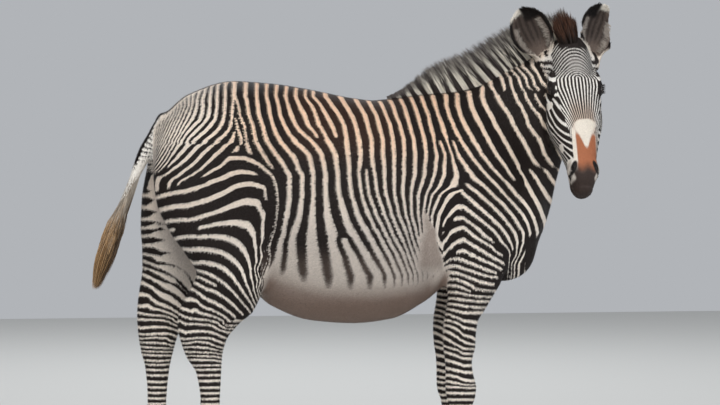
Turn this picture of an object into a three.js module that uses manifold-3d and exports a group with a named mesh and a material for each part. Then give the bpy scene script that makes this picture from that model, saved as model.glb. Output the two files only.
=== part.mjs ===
// A life-size standing Grevy's zebra mare, heavy with foal, her head turned to her right.
//
// Millimetres. +X is the way the body faces, +Z is up, and the animal's left side is +Y.
// The origin lies on the ground, below the middle of the whole animal.
//
// The flesh is one smooth field, the blend of lofts and muscles. It is turned into a closed
// surface, thinned to few triangles, and parted with thin flat cuts into the named nodes.
// Hooves, ears, eyes, mane and tail hair are pieces of their own.

import * as THREE from "three";
import { mergeVertices } from "three/addons/utils/BufferGeometryUtils.js";
import Module from "manifold-3d";

const wasm = await Module();
wasm.setup();

// ---------- driving dimensions ----------

const GAP = 0.3; // between neighbouring pieces
const MIDDLE = [-2.6, -30.8]; // X and Y of the middle of the animal, which the origin is moved to
const NECK_SLOPE = (27 * Math.PI) / 180; // the neck's sections lean back by this
const EYE_RADIUS = 20;
const RIGHT = -1;
const LEFT = 1;

// The head has its own frame: from the poll along the face, out of the forehead, and to its left.
const POLL = new THREE.Vector3(782, -150, 1672);
const HEAD_TURN = (-89.5 * Math.PI) / 180; // from straight ahead, about +Z
const HEAD_DROP = (63 * Math.PI) / 180; // of the nose, below level
const HEAD = headFrame();

// ---------- body sections ----------
// at: place along the loft. top and bottom: the outline's two sides. wide: where the section is
// widest. half: half its width. mid: how far its middle lies to the left.

const TRUNK = [
  { at: -690, top: 1402, bottom: 1150, wide: 1280, half: 105 },
  { at: -600, top: 1474, bottom: 1010, wide: 1250, half: 192 },
  { at: -440, top: 1520, bottom: 850, wide: 1180, half: 248 },
  { at: -300, top: 1511, bottom: 700, wide: 1080, half: 268 },
  { at: -150, top: 1487, bottom: 645, wide: 985, half: 305 },
  { at: 0, top: 1457, bottom: 634, wide: 950, half: 326 },
  { at: 130, top: 1443, bottom: 648, wide: 955, half: 318 },
  { at: 250, top: 1440, bottom: 706, wide: 985, half: 284 },
  { at: 350, top: 1440, bottom: 776, wide: 1030, half: 238 },
  { at: 460, top: 1420, bottom: 800, wide: 1070, half: 200 },
  { at: 570, top: 1330, bottom: 832, wide: 1060, half: 165 },
  { at: 640, top: 1230, bottom: 905, wide: 1050, half: 120 },
];

const NECK = [
  { at: 860, top: 1140, bottom: 470, wide: 800, half: 178, mid: 0 },
  { at: 935, top: 1148, bottom: 476, wide: 790, half: 158, mid: 0 },
  { at: 1022, top: 1138, bottom: 518, wide: 790, half: 136, mid: 0 },
  { at: 1119, top: 1128, bottom: 600, wide: 835, half: 116, mid: -4 },
  { at: 1213, top: 1130, bottom: 706, wide: 890, half: 100, mid: -15 },
  { at: 1290, top: 1132, bottom: 790, wide: 935, half: 90, mid: -30 },
  { at: 1385, top: 1136, bottom: 880, wide: 985, half: 82, mid: -48 },
];

const FACE = [
  { at: 0, top: -6, bottom: -170, wide: -85, half: 60 },
  { at: 60, top: 6, bottom: -222, wide: -95, half: 72 },
  { at: 110, top: 12, bottom: -250, wide: -95, half: 82 },
  { at: 160, top: 13, bottom: -264, wide: -92, half: 92 },
  { at: 205, top: 9, bottom: -264, wide: -98, half: 98 },
  { at: 255, top: 4, bottom: -248, wide: -102, half: 99 },
  { at: 310, top: 1, bottom: -216, wide: -100, half: 95 },
  { at: 370, top: 0, bottom: -176, wide: -86, half: 81 },
  { at: 430, top: 0, bottom: -148, wide: -72, half: 64 },
  { at: 480, top: -2, bottom: -134, wide: -66, half: 53 },
  { at: 520, top: -6, bottom: -130, wide: -66, half: 50 },
  { at: 550, top: -16, bottom: -128, wide: -70, half: 43 },
  { at: 572, top: -32, bottom: -118, wide: -74, half: 34 },
];

// A leg's sections are level: top is its front edge and bottom its back edge, along X.
const FORELEG = [
  { at: 340, top: 424, bottom: 336, wide: 385, half: 31, mid: 118 },
  { at: 370, top: 433, bottom: 325, wide: 388, half: 41, mid: 118 },
  { at: 405, top: 436, bottom: 321, wide: 388, half: 44, mid: 119 },
  { at: 450, top: 425, bottom: 321, wide: 382, half: 43, mid: 121 },
  { at: 495, top: 419, bottom: 319, wide: 375, half: 41, mid: 124 },
  { at: 555, top: 431, bottom: 311, wide: 372, half: 46, mid: 128 },
  { at: 600, top: 433, bottom: 309, wide: 372, half: 51, mid: 131 },
  { at: 646, top: 440, bottom: 312, wide: 376, half: 56, mid: 134 },
  { at: 690, top: 466, bottom: 320, wide: 388, half: 61, mid: 137 },
  { at: 735, top: 492, bottom: 325, wide: 400, half: 66, mid: 140 },
  { at: 790, top: 524, bottom: 322, wide: 415, half: 72, mid: 142 },
  { at: 870, top: 550, bottom: 312, wide: 425, half: 72, mid: 142 },
  { at: 960, top: 545, bottom: 320, wide: 430, half: 60, mid: 135 },
];

const NEAR_HIND_LEG = [
  { at: 270, top: -510, bottom: -578, wide: -544, half: 26, mid: 128 },
  { at: 370, top: -505, bottom: -577, wide: -539, half: 26, mid: 127 },
  { at: 470, top: -500, bottom: -592, wide: -540, half: 32, mid: 126 },
  { at: 530, top: -496, bottom: -628, wide: -548, half: 42, mid: 127 },
  { at: 590, top: -480, bottom: -650, wide: -548, half: 47, mid: 130 },
  { at: 645, top: -438, bottom: -662, wide: -522, half: 48, mid: 136 },
  { at: 695, top: -384, bottom: -656, wide: -488, half: 56, mid: 146 },
  { at: 760, top: -362, bottom: -626, wide: -466, half: 72, mid: 158 },
  { at: 830, top: -350, bottom: -596, wide: -455, half: 88, mid: 164 },
  { at: 900, top: -336, bottom: -634, wide: -460, half: 101, mid: 162 },
  { at: 985, top: -322, bottom: -692, wide: -478, half: 113, mid: 154 },
  { at: 1095, top: -312, bottom: -738, wide: -498, half: 121, mid: 144 },
  { at: 1180, top: -310, bottom: -746, wide: -510, half: 119, mid: 137 },
  { at: 1270, top: -325, bottom: -728, wide: -512, half: 108, mid: 124 },
  { at: 1350, top: -350, bottom: -690, wide: -505, half: 88, mid: 108 },
];

const FAR_HIND_LEG = [
  { at: 270, top: -676, bottom: -744, wide: -709, half: 26, mid: 122 },
  { at: 370, top: -671, bottom: -743, wide: -705, half: 26, mid: 121 },
  { at: 470, top: -660, bottom: -751, wide: -699, half: 32, mid: 121 },
  { at: 530, top: -646, bottom: -766, wide: -694, half: 42, mid: 122 },
  { at: 590, top: -628, bottom: -776, wide: -686, half: 47, mid: 126 },
  { at: 645, top: -606, bottom: -780, wide: -670, half: 48, mid: 132 },
  { at: 695, top: -578, bottom: -778, wide: -645, half: 56, mid: 142 },
  { at: 760, top: -530, bottom: -768, wide: -612, half: 70, mid: 154 },
  { at: 830, top: -470, bottom: -758, wide: -578, half: 86, mid: 160 },
  { at: 900, top: -420, bottom: -758, wide: -555, half: 100, mid: 160 },
  { at: 985, top: -370, bottom: -764, wide: -535, half: 113, mid: 154 },
  { at: 1095, top: -326, bottom: -760, wide: -520, half: 121, mid: 144 },
  { at: 1180, top: -310, bottom: -750, wide: -514, half: 119, mid: 137 },
  { at: 1270, top: -325, bottom: -728, wide: -512, half: 108, mid: 124 },
  { at: 1350, top: -350, bottom: -690, wide: -505, half: 88, mid: 108 },
];

// Fetlock and pastern, from the coronet up: heights, and edges counted from the fetlock's middle.
const FOOT = [
  { at: 26, top: 92, bottom: 30, wide: 60, half: 40 },
  { at: 55, top: 90, bottom: 22, wide: 58, half: 39 },
  { at: 85, top: 76, bottom: 12, wide: 44, half: 33 },
  { at: 115, top: 61, bottom: -6, wide: 27, half: 29 },
  { at: 145, top: 50, bottom: -30, wide: 12, half: 31 },
  { at: 172, top: 43, bottom: -44, wide: 3, half: 35 },
  { at: 200, top: 33, bottom: -40, wide: 0, half: 31 },
  { at: 235, top: 28, bottom: -35, wide: 0, half: 26 },
];

// How far the tail's middle is behind its root, at each depth below it.
const TAIL = [
  { at: 0, reach: -8, half: 26 },
  { at: 26, reach: 6, half: 35 },
  { at: 89, reach: 46, half: 34 },
  { at: 158, reach: 82, half: 25 },
  { at: 208, reach: 104, half: 19 },
  { at: 284, reach: 138, half: 16 },
  { at: 334, reach: 158, half: 15 },
  { at: 400, reach: 180, half: 14 },
];
const TAIL_ROOT = [-698, 0, 1375];
const TAIL_HAIR = [
  { at: 300, half: 20 },
  { at: 350, half: 27 },
  { at: 420, half: 37 },
  { at: 480, half: 37 },
  { at: 540, half: 27 },
  { at: 585, half: 15 },
  { at: 612, half: 5 },
];

// ---------- smooth curves through sections ----------

const TABLE = 400;

// A monotone cubic through the sections' values of one name, kept as an even table.
function table(sections, name) {
  const x = sections.map((s) => s.at);
  const y = sections.map((s) => s[name] ?? 0);
  const last = x.length - 1;
  const step = x.slice(1).map((v, i) => v - x[i]);
  const rise = step.map((h, i) => (y[i + 1] - y[i]) / h);
  const slope = y.map((_, i) => {
    if (i === 0) return rise[0];
    if (i === last) return rise[last - 1];
    const before = rise[i - 1];
    const after = rise[i];
    return before * after <= 0 ? 0 : (2 * before * after) / (before + after);
  });
  const values = new Float64Array(TABLE + 1);
  for (let k = 0, i = 0; k <= TABLE; k++) {
    const at = x[0] + ((x[last] - x[0]) * k) / TABLE;
    while (i < last - 1 && at > x[i + 1]) i++;
    const t = (at - x[i]) / step[i];
    const [t2, t3] = [t * t, t * t * t];
    values[k] =
      (2 * t3 - 3 * t2 + 1) * y[i] +
      (t3 - 2 * t2 + t) * step[i] * slope[i] +
      (3 * t2 - 2 * t3) * y[i + 1] +
      (t3 - t2) * step[i] * slope[i + 1];
  }
  return values;
}

const clamp = (v, low, high) => Math.min(high, Math.max(low, v));

// ---------- the field: about the distance in mm from a surface, below zero inside ----------

const FAR = 130; // a shape further than this from a point doesn't shape it

// A body along a straight axis, with an egg-shaped section at each place and domed ends.
function loft({ origin = [0, 0, 0], axes, sections, caps, flat = 2 }) {
  const [[ax, ay, az], [vx, vy, vz], [ux, uy, uz]] = axes;
  const first = sections[0].at;
  const last = sections.at(-1).at;
  const [top, bottom, wide, half, mid] = ["top", "bottom", "wide", "half", "mid"].map(
    (name) => table(sections, name),
  );
  const reach = Math.max(
    ...sections.map((s) => Math.max(s.top - s.wide, s.wide - s.bottom, s.half)),
  );
  return (x, y, z) => {
    const [dx, dy, dz] = [x - origin[0], y - origin[1], z - origin[2]];
    const t = dx * ax + dy * ay + dz * az;
    const on = clamp(t, first, last);
    const k = ((on - first) / (last - first)) * TABLE;
    const i = Math.min(TABLE - 1, Math.floor(k));
    const f = k - i;
    const pick = (values) => values[i] + (values[i + 1] - values[i]) * f;
    const u = dx * ux + dy * uy + dz * uz - pick(mid);
    const v = dx * vx + dy * vy + dz * vz - pick(wide);
    const out = Math.hypot(u, v, t - on);
    if (out > reach + FAR) return out - reach;
    const tall = v > 0 ? pick(top) - pick(wide) : pick(wide) - pick(bottom);
    const over = (t - on) / (t < first ? caps[0] : caps[1]);
    const a = Math.abs(u / pick(half));
    const b = Math.abs(v / tall);
    const round = flat === 2 ? a * a + b * b : (a ** flat + b ** flat) ** (2 / flat);
    const share = Math.sqrt(round + over * over);
    return share < 1e-3 ? -Math.min(pick(half), tall) : out * (1 - 1 / share);
  };
}

// A muscle or bulge: a ball stretched to three radii along three axes.
function bulge(centre, radii, axes = [[1, 0, 0], [0, 1, 0], [0, 0, 1]]) {
  const reach = Math.max(...radii);
  return (x, y, z) => {
    const d = [x - centre[0], y - centre[1], z - centre[2]];
    const out = Math.hypot(...d);
    if (out > reach + FAR) return out - reach;
    const share = Math.hypot(
      ...axes.map((a, i) => (a[0] * d[0] + a[1] * d[1] + a[2] * d[2]) / radii[i]),
    );
    return share < 1e-3 ? -Math.min(...radii) : out * (1 - 1 / share);
  };
}

// The smaller of two fields, blended where they are within k of each other.
function join(a, b, k) {
  const h = Math.max(k - Math.abs(a - b), 0) / k;
  return Math.min(a, b) - (h * h * k) / 4;
}

const carve = (a, b, k) => -join(-a, b, k);

// ---------- the head's frame ----------

function headFrame() {
  const facing = new THREE.Vector3(Math.cos(HEAD_TURN), Math.sin(HEAD_TURN), 0);
  const down = new THREE.Vector3(0, 0, -1);
  const along = facing
    .clone()
    .multiplyScalar(Math.cos(HEAD_DROP))
    .addScaledVector(down, Math.sin(HEAD_DROP));
  const out = facing
    .clone()
    .multiplyScalar(Math.sin(HEAD_DROP))
    .addScaledVector(down, -Math.cos(HEAD_DROP));
  const left = new THREE.Vector3().crossVectors(along, out).negate();
  const axes = [along, out, left].map((v) => v.toArray());
  // A point of the head, from its place along the face, out of it, and to its left.
  const place = (a, o, l) =>
    POLL.clone()
      .addScaledVector(along, a)
      .addScaledVector(out, o)
      .addScaledVector(left, l)
      .toArray();
  return { along, out, left, axes, place };
}

const turned = (degrees, about) => {
  const m = new THREE.Matrix4().makeRotationAxis(about, (degrees * Math.PI) / 180);
  return [
    [1, 0, 0],
    [0, 1, 0],
    [0, 0, 1],
  ].map((v) => new THREE.Vector3(...v).applyMatrix4(m).toArray());
};

// ---------- the flesh ----------

// A loft's axes: along it, toward its sections' top, and to the animal's left.
const TO_LEFT = [0, 1, 0];
const TRUNK_AXES = [[1, 0, 0], [0, 0, 1], TO_LEFT];
const LEG_AXES = [[0, 0, 1], [1, 0, 0], TO_LEFT];
const NECK_AXES = [
  [Math.cos(NECK_SLOPE), 0, Math.sin(NECK_SLOPE)],
  [-Math.sin(NECK_SLOPE), 0, Math.cos(NECK_SLOPE)],
  TO_LEFT,
];
const ABOUT_Y = new THREE.Vector3(0, 1, 0);

const LEGS = {
  foreleg_right: { side: RIGHT, fetlock: 384, lift: 1, shift: 0, sections: FORELEG },
  foreleg_left: { side: LEFT, fetlock: 394, lift: 1, shift: 10, sections: FORELEG },
  hindleg_right: { side: RIGHT, fetlock: -543, lift: 1.08, shift: 0, sections: NEAR_HIND_LEG },
  hindleg_left: { side: LEFT, fetlock: -707, lift: 1.08, shift: 0, sections: FAR_HIND_LEG },
};

function legField({ side, fetlock, lift, shift, sections }) {
  const low = sections[0];
  const foot = FOOT.map((s) => ({
    at: s.at * lift,
    top: s.top + fetlock,
    bottom: s.bottom + fetlock,
    wide: s.wide + fetlock,
    half: s.half,
    mid: side * low.mid,
  }));
  const shank = sections.map((s) => ({
    ...s,
    top: s.top + shift,
    bottom: s.bottom + shift,
    wide: s.wide + shift,
    mid: side * s.mid,
  }));
  return loft({ axes: LEG_AXES, sections: [...foot, ...shank], caps: [30, 70] });
}

const trunkField = loft({ axes: TRUNK_AXES, sections: TRUNK, caps: [50, 46], flat: 2.15 });
const neckField = loft({ axes: NECK_AXES, sections: NECK, caps: [80, 60] });
const faceField = loft({
  origin: POLL.toArray(),
  axes: HEAD.axes,
  sections: FACE,
  caps: [34, 26],
  flat: 2.3,
});
const legFields = Object.fromEntries(
  Object.entries(LEGS).map(([name, leg]) => [name, legField(leg)]),
);

const bothSides = (make) => [RIGHT, LEFT].map(make);
const MUSCLES = [
  bulge([236, 0, 1392], [190, 62, 66], turned(-4, ABOUT_Y)), // withers
  ...bothSides((s) => bulge([-460, s * 110, 1335], [200, 122, 150])), // rump
  ...bothSides((s) => bulge([-350, s * 185, 1300], [80, 62, 100])), // hip
  ...bothSides((s) => bulge([375, s * 98, 1150], [120, 84, 225], turned(16, ABOUT_Y))), // shoulder blade
  ...bothSides((s) => bulge([395, s * 150, 950], [130, 66, 120], turned(-25, ABOUT_Y))), // upper arm
  ...bothSides((s) => bulge([585, s * 95, 1010], [84, 74, 130], turned(20, ABOUT_Y))), // point of shoulder
  ...bothSides((s) => bulge([575, s * 52, 880], [82, 60, 84])), // breast
  ...bothSides((s) => bulge([-425, s * 172, 860], [80, 66, 150], turned(16, ABOUT_Y))), // stifle
];
const eyePlace = (side) => HEAD.place(190, -35, side * 86);
const HEAD_BULGES = [
  ...bothSides((s) => bulge(HEAD.place(168, -26, s * 79), [50, 16, 20], HEAD.axes)), // brow
  ...bothSides((s) => bulge(HEAD.place(212, -72, s * 80), [46, 15, 18], HEAD.axes)), // below the eye
  ...bothSides((s) => bulge(HEAD.place(280, -86, s * 80), [64, 14, 17], HEAD.axes)), // cheek ridge
  ...bothSides((s) => bulge(HEAD.place(235, -165, s * 68), [110, 82, 33], HEAD.axes)), // cheek
  ...bothSides((s) => bulge(HEAD.place(54, -84, s * 76), [46, 38, 36], HEAD.axes)), // root of the ear
  ...bothSides((s) => bulge(HEAD.place(508, -38, s * 32), [36, 28, 21], HEAD.axes)), // nostril
  bulge(HEAD.place(545, -116, 0), [38, 24, 34], HEAD.axes), // chin
  bulge(HEAD.place(44, -44, 0), [74, 48, 66], HEAD.axes), // crown
];
const HOLLOWS = [
  ...bothSides((s) => bulge(HEAD.place(516, -35, s * 50), [19, 10, 16], HEAD.axes)), // nostril
  ...bothSides((s) => bulge(HEAD.place(191, -33, s * 107), [26, 16, 24], HEAD.axes)), // eye opening
];

function headPart(x, y, z) {
  let f = faceField(x, y, z);
  if (f > FAR) return f;
  for (const b of HEAD_BULGES) f = join(f, b(x, y, z), 22);
  for (const h of HOLLOWS) f = carve(f, h(x, y, z), 6);
  return f;
}

const DOCK_LENGTH = TAIL.at(-1).at;
const tailReach = table(TAIL, "reach");
const tailHalf = table(TAIL, "half");
const tailSlope = (tailReach[TABLE] - tailReach[TABLE - 20]) / ((20 * DOCK_LENGTH) / TABLE);

// The tail's middle at a depth below its root; beyond the table it runs on straight.
function tailMiddle(at) {
  const k = Math.floor(clamp((at / DOCK_LENGTH) * TABLE, 0, TABLE));
  const beyond = Math.max(0, at - DOCK_LENGTH) * tailSlope;
  return [TAIL_ROOT[0] - tailReach[k] - beyond, TAIL_ROOT[1], TAIL_ROOT[2] - at];
}

// The tail's dock: level discs down its bend.
function dockField(x, y, z) {
  const at = clamp(TAIL_ROOT[2] - z, 0, DOCK_LENGTH);
  const middle = tailMiddle(at);
  const half = tailHalf[Math.floor((at / DOCK_LENGTH) * TABLE)];
  const out = Math.hypot(x - middle[0], y - middle[1], Math.max(0, Math.abs(z - middle[2]) - 1));
  return (out - half) * 0.95;
}

function flesh(x, y, z) {
  const hind = Math.min(legFields.hindleg_right(x, y, z), legFields.hindleg_left(x, y, z));
  const fore = Math.min(legFields.foreleg_right(x, y, z), legFields.foreleg_left(x, y, z));
  let f = join(trunkField(x, y, z), neckField(x, y, z), 90);
  for (const m of MUSCLES) f = join(f, m(x, y, z), 60);
  f = join(f, hind, 60);
  f = join(f, fore, 45);
  f = join(f, dockField(x, y, z), 26);
  return join(f, headPart(x, y, z), 34);
}

// ---------- from the field to a closed surface ----------

// Marching tetrahedra over a box, skipping the parts of it that are far from the surface.
function surface(field, low, high, cell) {
  const n = low.map((v, i) => Math.ceil((high[i] - v) / cell) + 1);
  const at = (i, j, k) => (k * n[1] + j) * n[0] + i;
  const values = new Float32Array(n[0] * n[1] * n[2]).fill(1e3);
  const point = (i, j, k) => [low[0] + i * cell, low[1] + j * cell, low[2] + k * cell];
  const block = 4;
  const margin = block * cell * 1.75;
  const onEdge = (i, j, k) => [i, j, k].some((v, m) => v === 0 || v === n[m] - 1);
  for (let k = 0; k < n[2]; k += block)
    for (let j = 0; j < n[1]; j += block)
      for (let i = 0; i < n[0]; i += block) {
        const [x, y, z] = point(i, j, k).map((v) => v + (block * cell) / 2);
        const middle = field(x, y, z);
        const near = Math.abs(middle) < margin;
        for (let c = k; c < Math.min(n[2], k + block); c++)
          for (let b = j; b < Math.min(n[1], j + block); b++)
            for (let a = i; a < Math.min(n[0], i + block); a++)
              values[at(a, b, c)] = onEdge(a, b, c)
                ? cell
                : near
                  ? field(...point(a, b, c)) || 1e-4
                  : middle;
      }
  const places = [];
  const made = new Map();
  const between = (p, q) => {
    const [a, b] = p < q ? [p, q] : [q, p];
    const key = a * values.length + b;
    if (made.has(key)) return made.get(key);
    const share = clamp(values[a] / (values[a] - values[b]), 0.03, 0.97);
    const [pa, pb] = [a, b].map((v) =>
      point(v % n[0], Math.floor(v / n[0]) % n[1], Math.floor(v / (n[0] * n[1]))),
    );
    places.push(pa.map((v, i) => v + (pb[i] - v) * share));
    made.set(key, places.length - 1);
    return places.length - 1;
  };
  const faces = [];
  const add = (a, b, c, inside, outside) => {
    // Wind the face so that it looks from the inside to the outside.
    const [p, q, r] = [places[a], places[b], places[c]];
    const u = q.map((v, i) => v - p[i]);
    const w = r.map((v, i) => v - p[i]);
    const normal = [
      u[1] * w[2] - u[2] * w[1],
      u[2] * w[0] - u[0] * w[2],
      u[0] * w[1] - u[1] * w[0],
    ];
    const way = outside.map((v, i) => v - inside[i]);
    const faceOut = normal[0] * way[0] + normal[1] * way[1] + normal[2] * way[2] > 0;
    faces.push(faceOut ? [a, b, c] : [a, c, b]);
  };
  const CORNERS = [0, 1, 2, 3, 4, 5, 6, 7].map((c) => [c & 1, (c >> 1) & 1, c >> 2]);
  const TETRAHEDRA = [
    [0, 1, 3, 7],
    [0, 3, 2, 7],
    [0, 2, 6, 7],
    [0, 6, 4, 7],
    [0, 4, 5, 7],
    [0, 5, 1, 7],
  ];
  const where = (v) =>
    point(v % n[0], Math.floor(v / n[0]) % n[1], Math.floor(v / (n[0] * n[1])));
  for (let k = 0; k < n[2] - 1; k++)
    for (let j = 0; j < n[1] - 1; j++)
      for (let i = 0; i < n[0] - 1; i++) {
        const corner = CORNERS.map(([a, b, c]) => at(i + a, j + b, k + c));
        const count = corner.filter((c) => values[c] < 0).length;
        if (count === 0 || count === 8) continue;
        for (const four of TETRAHEDRA) {
          const ins = four.map((c) => corner[c]).filter((c) => values[c] < 0);
          const outs = four.map((c) => corner[c]).filter((c) => values[c] >= 0);
          if (!ins.length || !outs.length) continue;
          const [inside, outside] = [ins, outs].map((set) =>
            set
              .map(where)
              .reduce((sum, p) => sum.map((v, m) => v + p[m] / set.length), [0, 0, 0]),
          );
          if (ins.length === 2) {
            const a = between(ins[0], outs[0]);
            const b = between(ins[0], outs[1]);
            const c = between(ins[1], outs[1]);
            const d = between(ins[1], outs[0]);
            add(a, b, c, inside, outside);
            add(a, c, d, inside, outside);
          } else {
            const one = ins.length === 1 ? ins[0] : outs[0];
            const three = ins.length === 1 ? outs : ins;
            add(...three.map((v) => between(one, v)), inside, outside);
          }
        }
      }
  return { places, faces };
}

// ---------- thinning: quadric edge collapse that keeps the surface closed ----------

function thin({ places, faces }, target, care) {
  const quadric = places.map(() => new Float64Array(10));
  const around = places.map(() => new Set());
  const alive = new Uint8Array(faces.length).fill(1);
  const plane = (f) => {
    const [p, q, r] = f.map((v) => places[v]);
    const u = [q[0] - p[0], q[1] - p[1], q[2] - p[2]];
    const w = [r[0] - p[0], r[1] - p[1], r[2] - p[2]];
    const n = [u[1] * w[2] - u[2] * w[1], u[2] * w[0] - u[0] * w[2], u[0] * w[1] - u[1] * w[0]];
    const area = Math.hypot(...n) || 1e-12;
    return { n: n.map((v) => v / area), p, area };
  };
  faces.forEach((f, i) => {
    const { n, p, area } = plane(f);
    const [a, b, c] = n;
    const d = -(a * p[0] + b * p[1] + c * p[2]);
    const q = [a * a, a * b, a * c, a * d, b * b, b * c, b * d, c * c, c * d, d * d];
    for (const v of f) {
      q.forEach((value, m) => (quadric[v][m] += value * area));
      around[v].add(i);
    }
  });
  const error = (q, [x, y, z]) =>
    q[0] * x * x + 2 * q[1] * x * y + 2 * q[2] * x * z + 2 * q[3] * x +
    q[4] * y * y + 2 * q[5] * y * z + 2 * q[6] * y +
    q[7] * z * z + 2 * q[8] * z + q[9];
  const best = (q, p, r) => {
    const det =
      q[0] * (q[4] * q[7] - q[5] * q[5]) -
      q[1] * (q[1] * q[7] - q[5] * q[2]) +
      q[2] * (q[1] * q[5] - q[4] * q[2]);
    const half = p.map((v, i) => (v + r[i]) / 2);
    const scale = q[0] + q[4] + q[7];
    if (Math.abs(det) > 1e-4 * scale ** 3) {
      const [e, f, g] = [-q[3], -q[6], -q[8]];
      const spot = [
        e * (q[4] * q[7] - q[5] * q[5]) - q[1] * (f * q[7] - q[5] * g) + q[2] * (f * q[5] - q[4] * g),
        q[0] * (f * q[7] - g * q[5]) - e * (q[1] * q[7] - q[5] * q[2]) + q[2] * (q[1] * g - f * q[2]),
        q[0] * (q[4] * g - f * q[5]) - q[1] * (q[1] * g - f * q[2]) + e * (q[1] * q[5] - q[4] * q[2]),
      ].map((v) => v / det);
      const far = Math.hypot(...spot.map((v, i) => v - half[i]));
      if (far < 1.5 * Math.hypot(...p.map((v, i) => v - r[i]))) return spot;
    }
    return [half, p, r].reduce((a, b) => (error(q, b) < error(q, a) ? b : a));
  };
  const heap = [];
  const push = (item) => {
    let i = heap.length;
    heap.push(item);
    while (i > 0) {
      const up = (i - 1) >> 1;
      if (heap[up].cost <= item.cost) break;
      heap[i] = heap[up];
      i = up;
    }
    heap[i] = item;
  };
  const pop = () => {
    const top = heap[0];
    const item = heap.pop();
    if (heap.length) {
      let i = 0;
      for (;;) {
        let next = 2 * i + 1;
        if (next >= heap.length) break;
        if (next + 1 < heap.length && heap[next + 1].cost < heap[next].cost) next++;
        if (heap[next].cost >= item.cost) break;
        heap[i] = heap[next];
        i = next;
      }
      heap[i] = item;
    }
    return top;
  };
  const stamp = new Int32Array(places.length);
  const offer = (a, b) => {
    const q = quadric[a].map((v, m) => v + quadric[b][m]);
    const spot = best(q, places[a], places[b]);
    // A little of the edge's own length keeps flat places from growing slivers.
    const length = Math.hypot(...places[a].map((v, i) => v - places[b][i]));
    const cost = (Math.max(0, error(q, spot)) + 2e-5 * length ** 4) * care(spot);
    push({ cost, a, b, spot, stamps: [stamp[a], stamp[b]] });
  };
  const neighbours = (v) => {
    const found = new Set();
    for (const f of around[v]) for (const w of faces[f]) if (w !== v) found.add(w);
    return found;
  };
  for (const f of faces)
    for (let e = 0; e < 3; e++) if (f[e] < f[(e + 1) % 3]) offer(f[e], f[(e + 1) % 3]);
  let left = faces.length;
  while (left > target && heap.length) {
    const { a, b, spot, stamps } = pop();
    if (stamps[0] !== stamp[a] || stamps[1] !== stamp[b]) continue;
    const near = neighbours(b);
    const shared = [...neighbours(a)].filter((v) => near.has(v));
    if (shared.length !== 2) continue;
    const turnsOver = [a, b].some((v) =>
      [...around[v]].some((i) => {
        const f = faces[i];
        if (f.includes(a) && f.includes(b)) return false;
        const before = plane(f);
        const [p, q, r] = f.map((w) => (w === v ? spot : places[w]));
        const u = [q[0] - p[0], q[1] - p[1], q[2] - p[2]];
        const w = [r[0] - p[0], r[1] - p[1], r[2] - p[2]];
        const n = [u[1] * w[2] - u[2] * w[1], u[2] * w[0] - u[0] * w[2], u[0] * w[1] - u[1] * w[0]];
        const area = Math.hypot(...n);
        const longest = Math.max(Math.hypot(...u), Math.hypot(...w));
        const same = n[0] * before.n[0] + n[1] * before.n[1] + n[2] * before.n[2];
        return same < 0.35 * area || area < 0.02 * longest * longest;
      }),
    );
    if (turnsOver) continue;
    places[a] = spot;
    quadric[b].forEach((v, m) => (quadric[a][m] += v));
    for (const i of [...around[b]]) {
      if (faces[i].includes(a)) {
        alive[i] = 0;
        left--;
        for (const v of faces[i]) around[v].delete(i);
      } else {
        faces[i] = faces[i].map((v) => (v === b ? a : v));
        around[a].add(i);
      }
    }
    around[b].clear();
    stamp[a]++;
    stamp[b] = -1;
    for (const v of neighbours(a)) offer(a, v);
  }
  return { places, faces: faces.filter((_, i) => alive[i]) };
}

// ---------- solids for cutting and joining ----------

function solid({ places, faces }) {
  return new wasm.Manifold(
    new wasm.Mesh({
      numProp: 3,
      vertProperties: new Float32Array(places.flat()),
      triVerts: new Uint32Array(faces.flat()),
    }),
  );
}

function solidFrom(geometry) {
  const bare = geometry.clone();
  for (const name of Object.keys(bare.attributes))
    if (name !== "position") bare.deleteAttribute(name);
  const merged = mergeVertices(bare, 1e-3);
  return new wasm.Manifold(
    new wasm.Mesh({
      numProp: 3,
      vertProperties: new Float32Array(merged.attributes.position.array),
      triVerts: new Uint32Array(merged.index.array),
    }),
  );
}

function geometryOf(made) {
  const mesh = made.getMesh();
  const places = new Float32Array(mesh.numVert * 3);
  for (let i = 0; i < mesh.numVert; i++)
    places.set(mesh.vertProperties.subarray(i * mesh.numProp, i * mesh.numProp + 3), i * 3);
  const geometry = new THREE.BufferGeometry()
    .setAttribute("position", new THREE.BufferAttribute(places, 3))
    .setIndex(new THREE.BufferAttribute(mesh.triVerts, 1));
  geometry.computeVertexNormals();
  return geometry;
}

// Parts a solid by a flat cut as wide as the gap: [the side the normal points to, the other].
function part(made, normal, offset) {
  const n = new THREE.Vector3(...normal).normalize();
  return [
    made.trimByPlane(n.toArray(), offset + GAP / 2),
    made.trimByPlane(n.clone().negate().toArray(), -offset + GAP / 2),
  ];
}

// The same, with the cut through a given point.
const partAt = (made, normal, point) =>
  part(made, normal, new THREE.Vector3(...normal).normalize().dot(new THREE.Vector3(...point)));

const middleOf = (made) => {
  const box = made.boundingBox();
  return box.min.map((v, i) => (v + box.max[i]) / 2);
};

// The separate bodies of a solid, the largest first, without the crumbs of a cut.
const bodiesOf = (made) =>
  made
    .decompose()
    .filter((b) => b.volume() > 2000)
    .sort((a, b) => b.volume() - a.volume());

const largest = (made) => bodiesOf(made)[0];

const bySide = (made) => {
  const two = bodiesOf(made).slice(0, 2);
  const [right, left] = two.sort((a, b) => middleOf(a)[1] - middleOf(b)[1]);
  return { right, left };
};

// ---------- pieces of their own ----------

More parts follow.
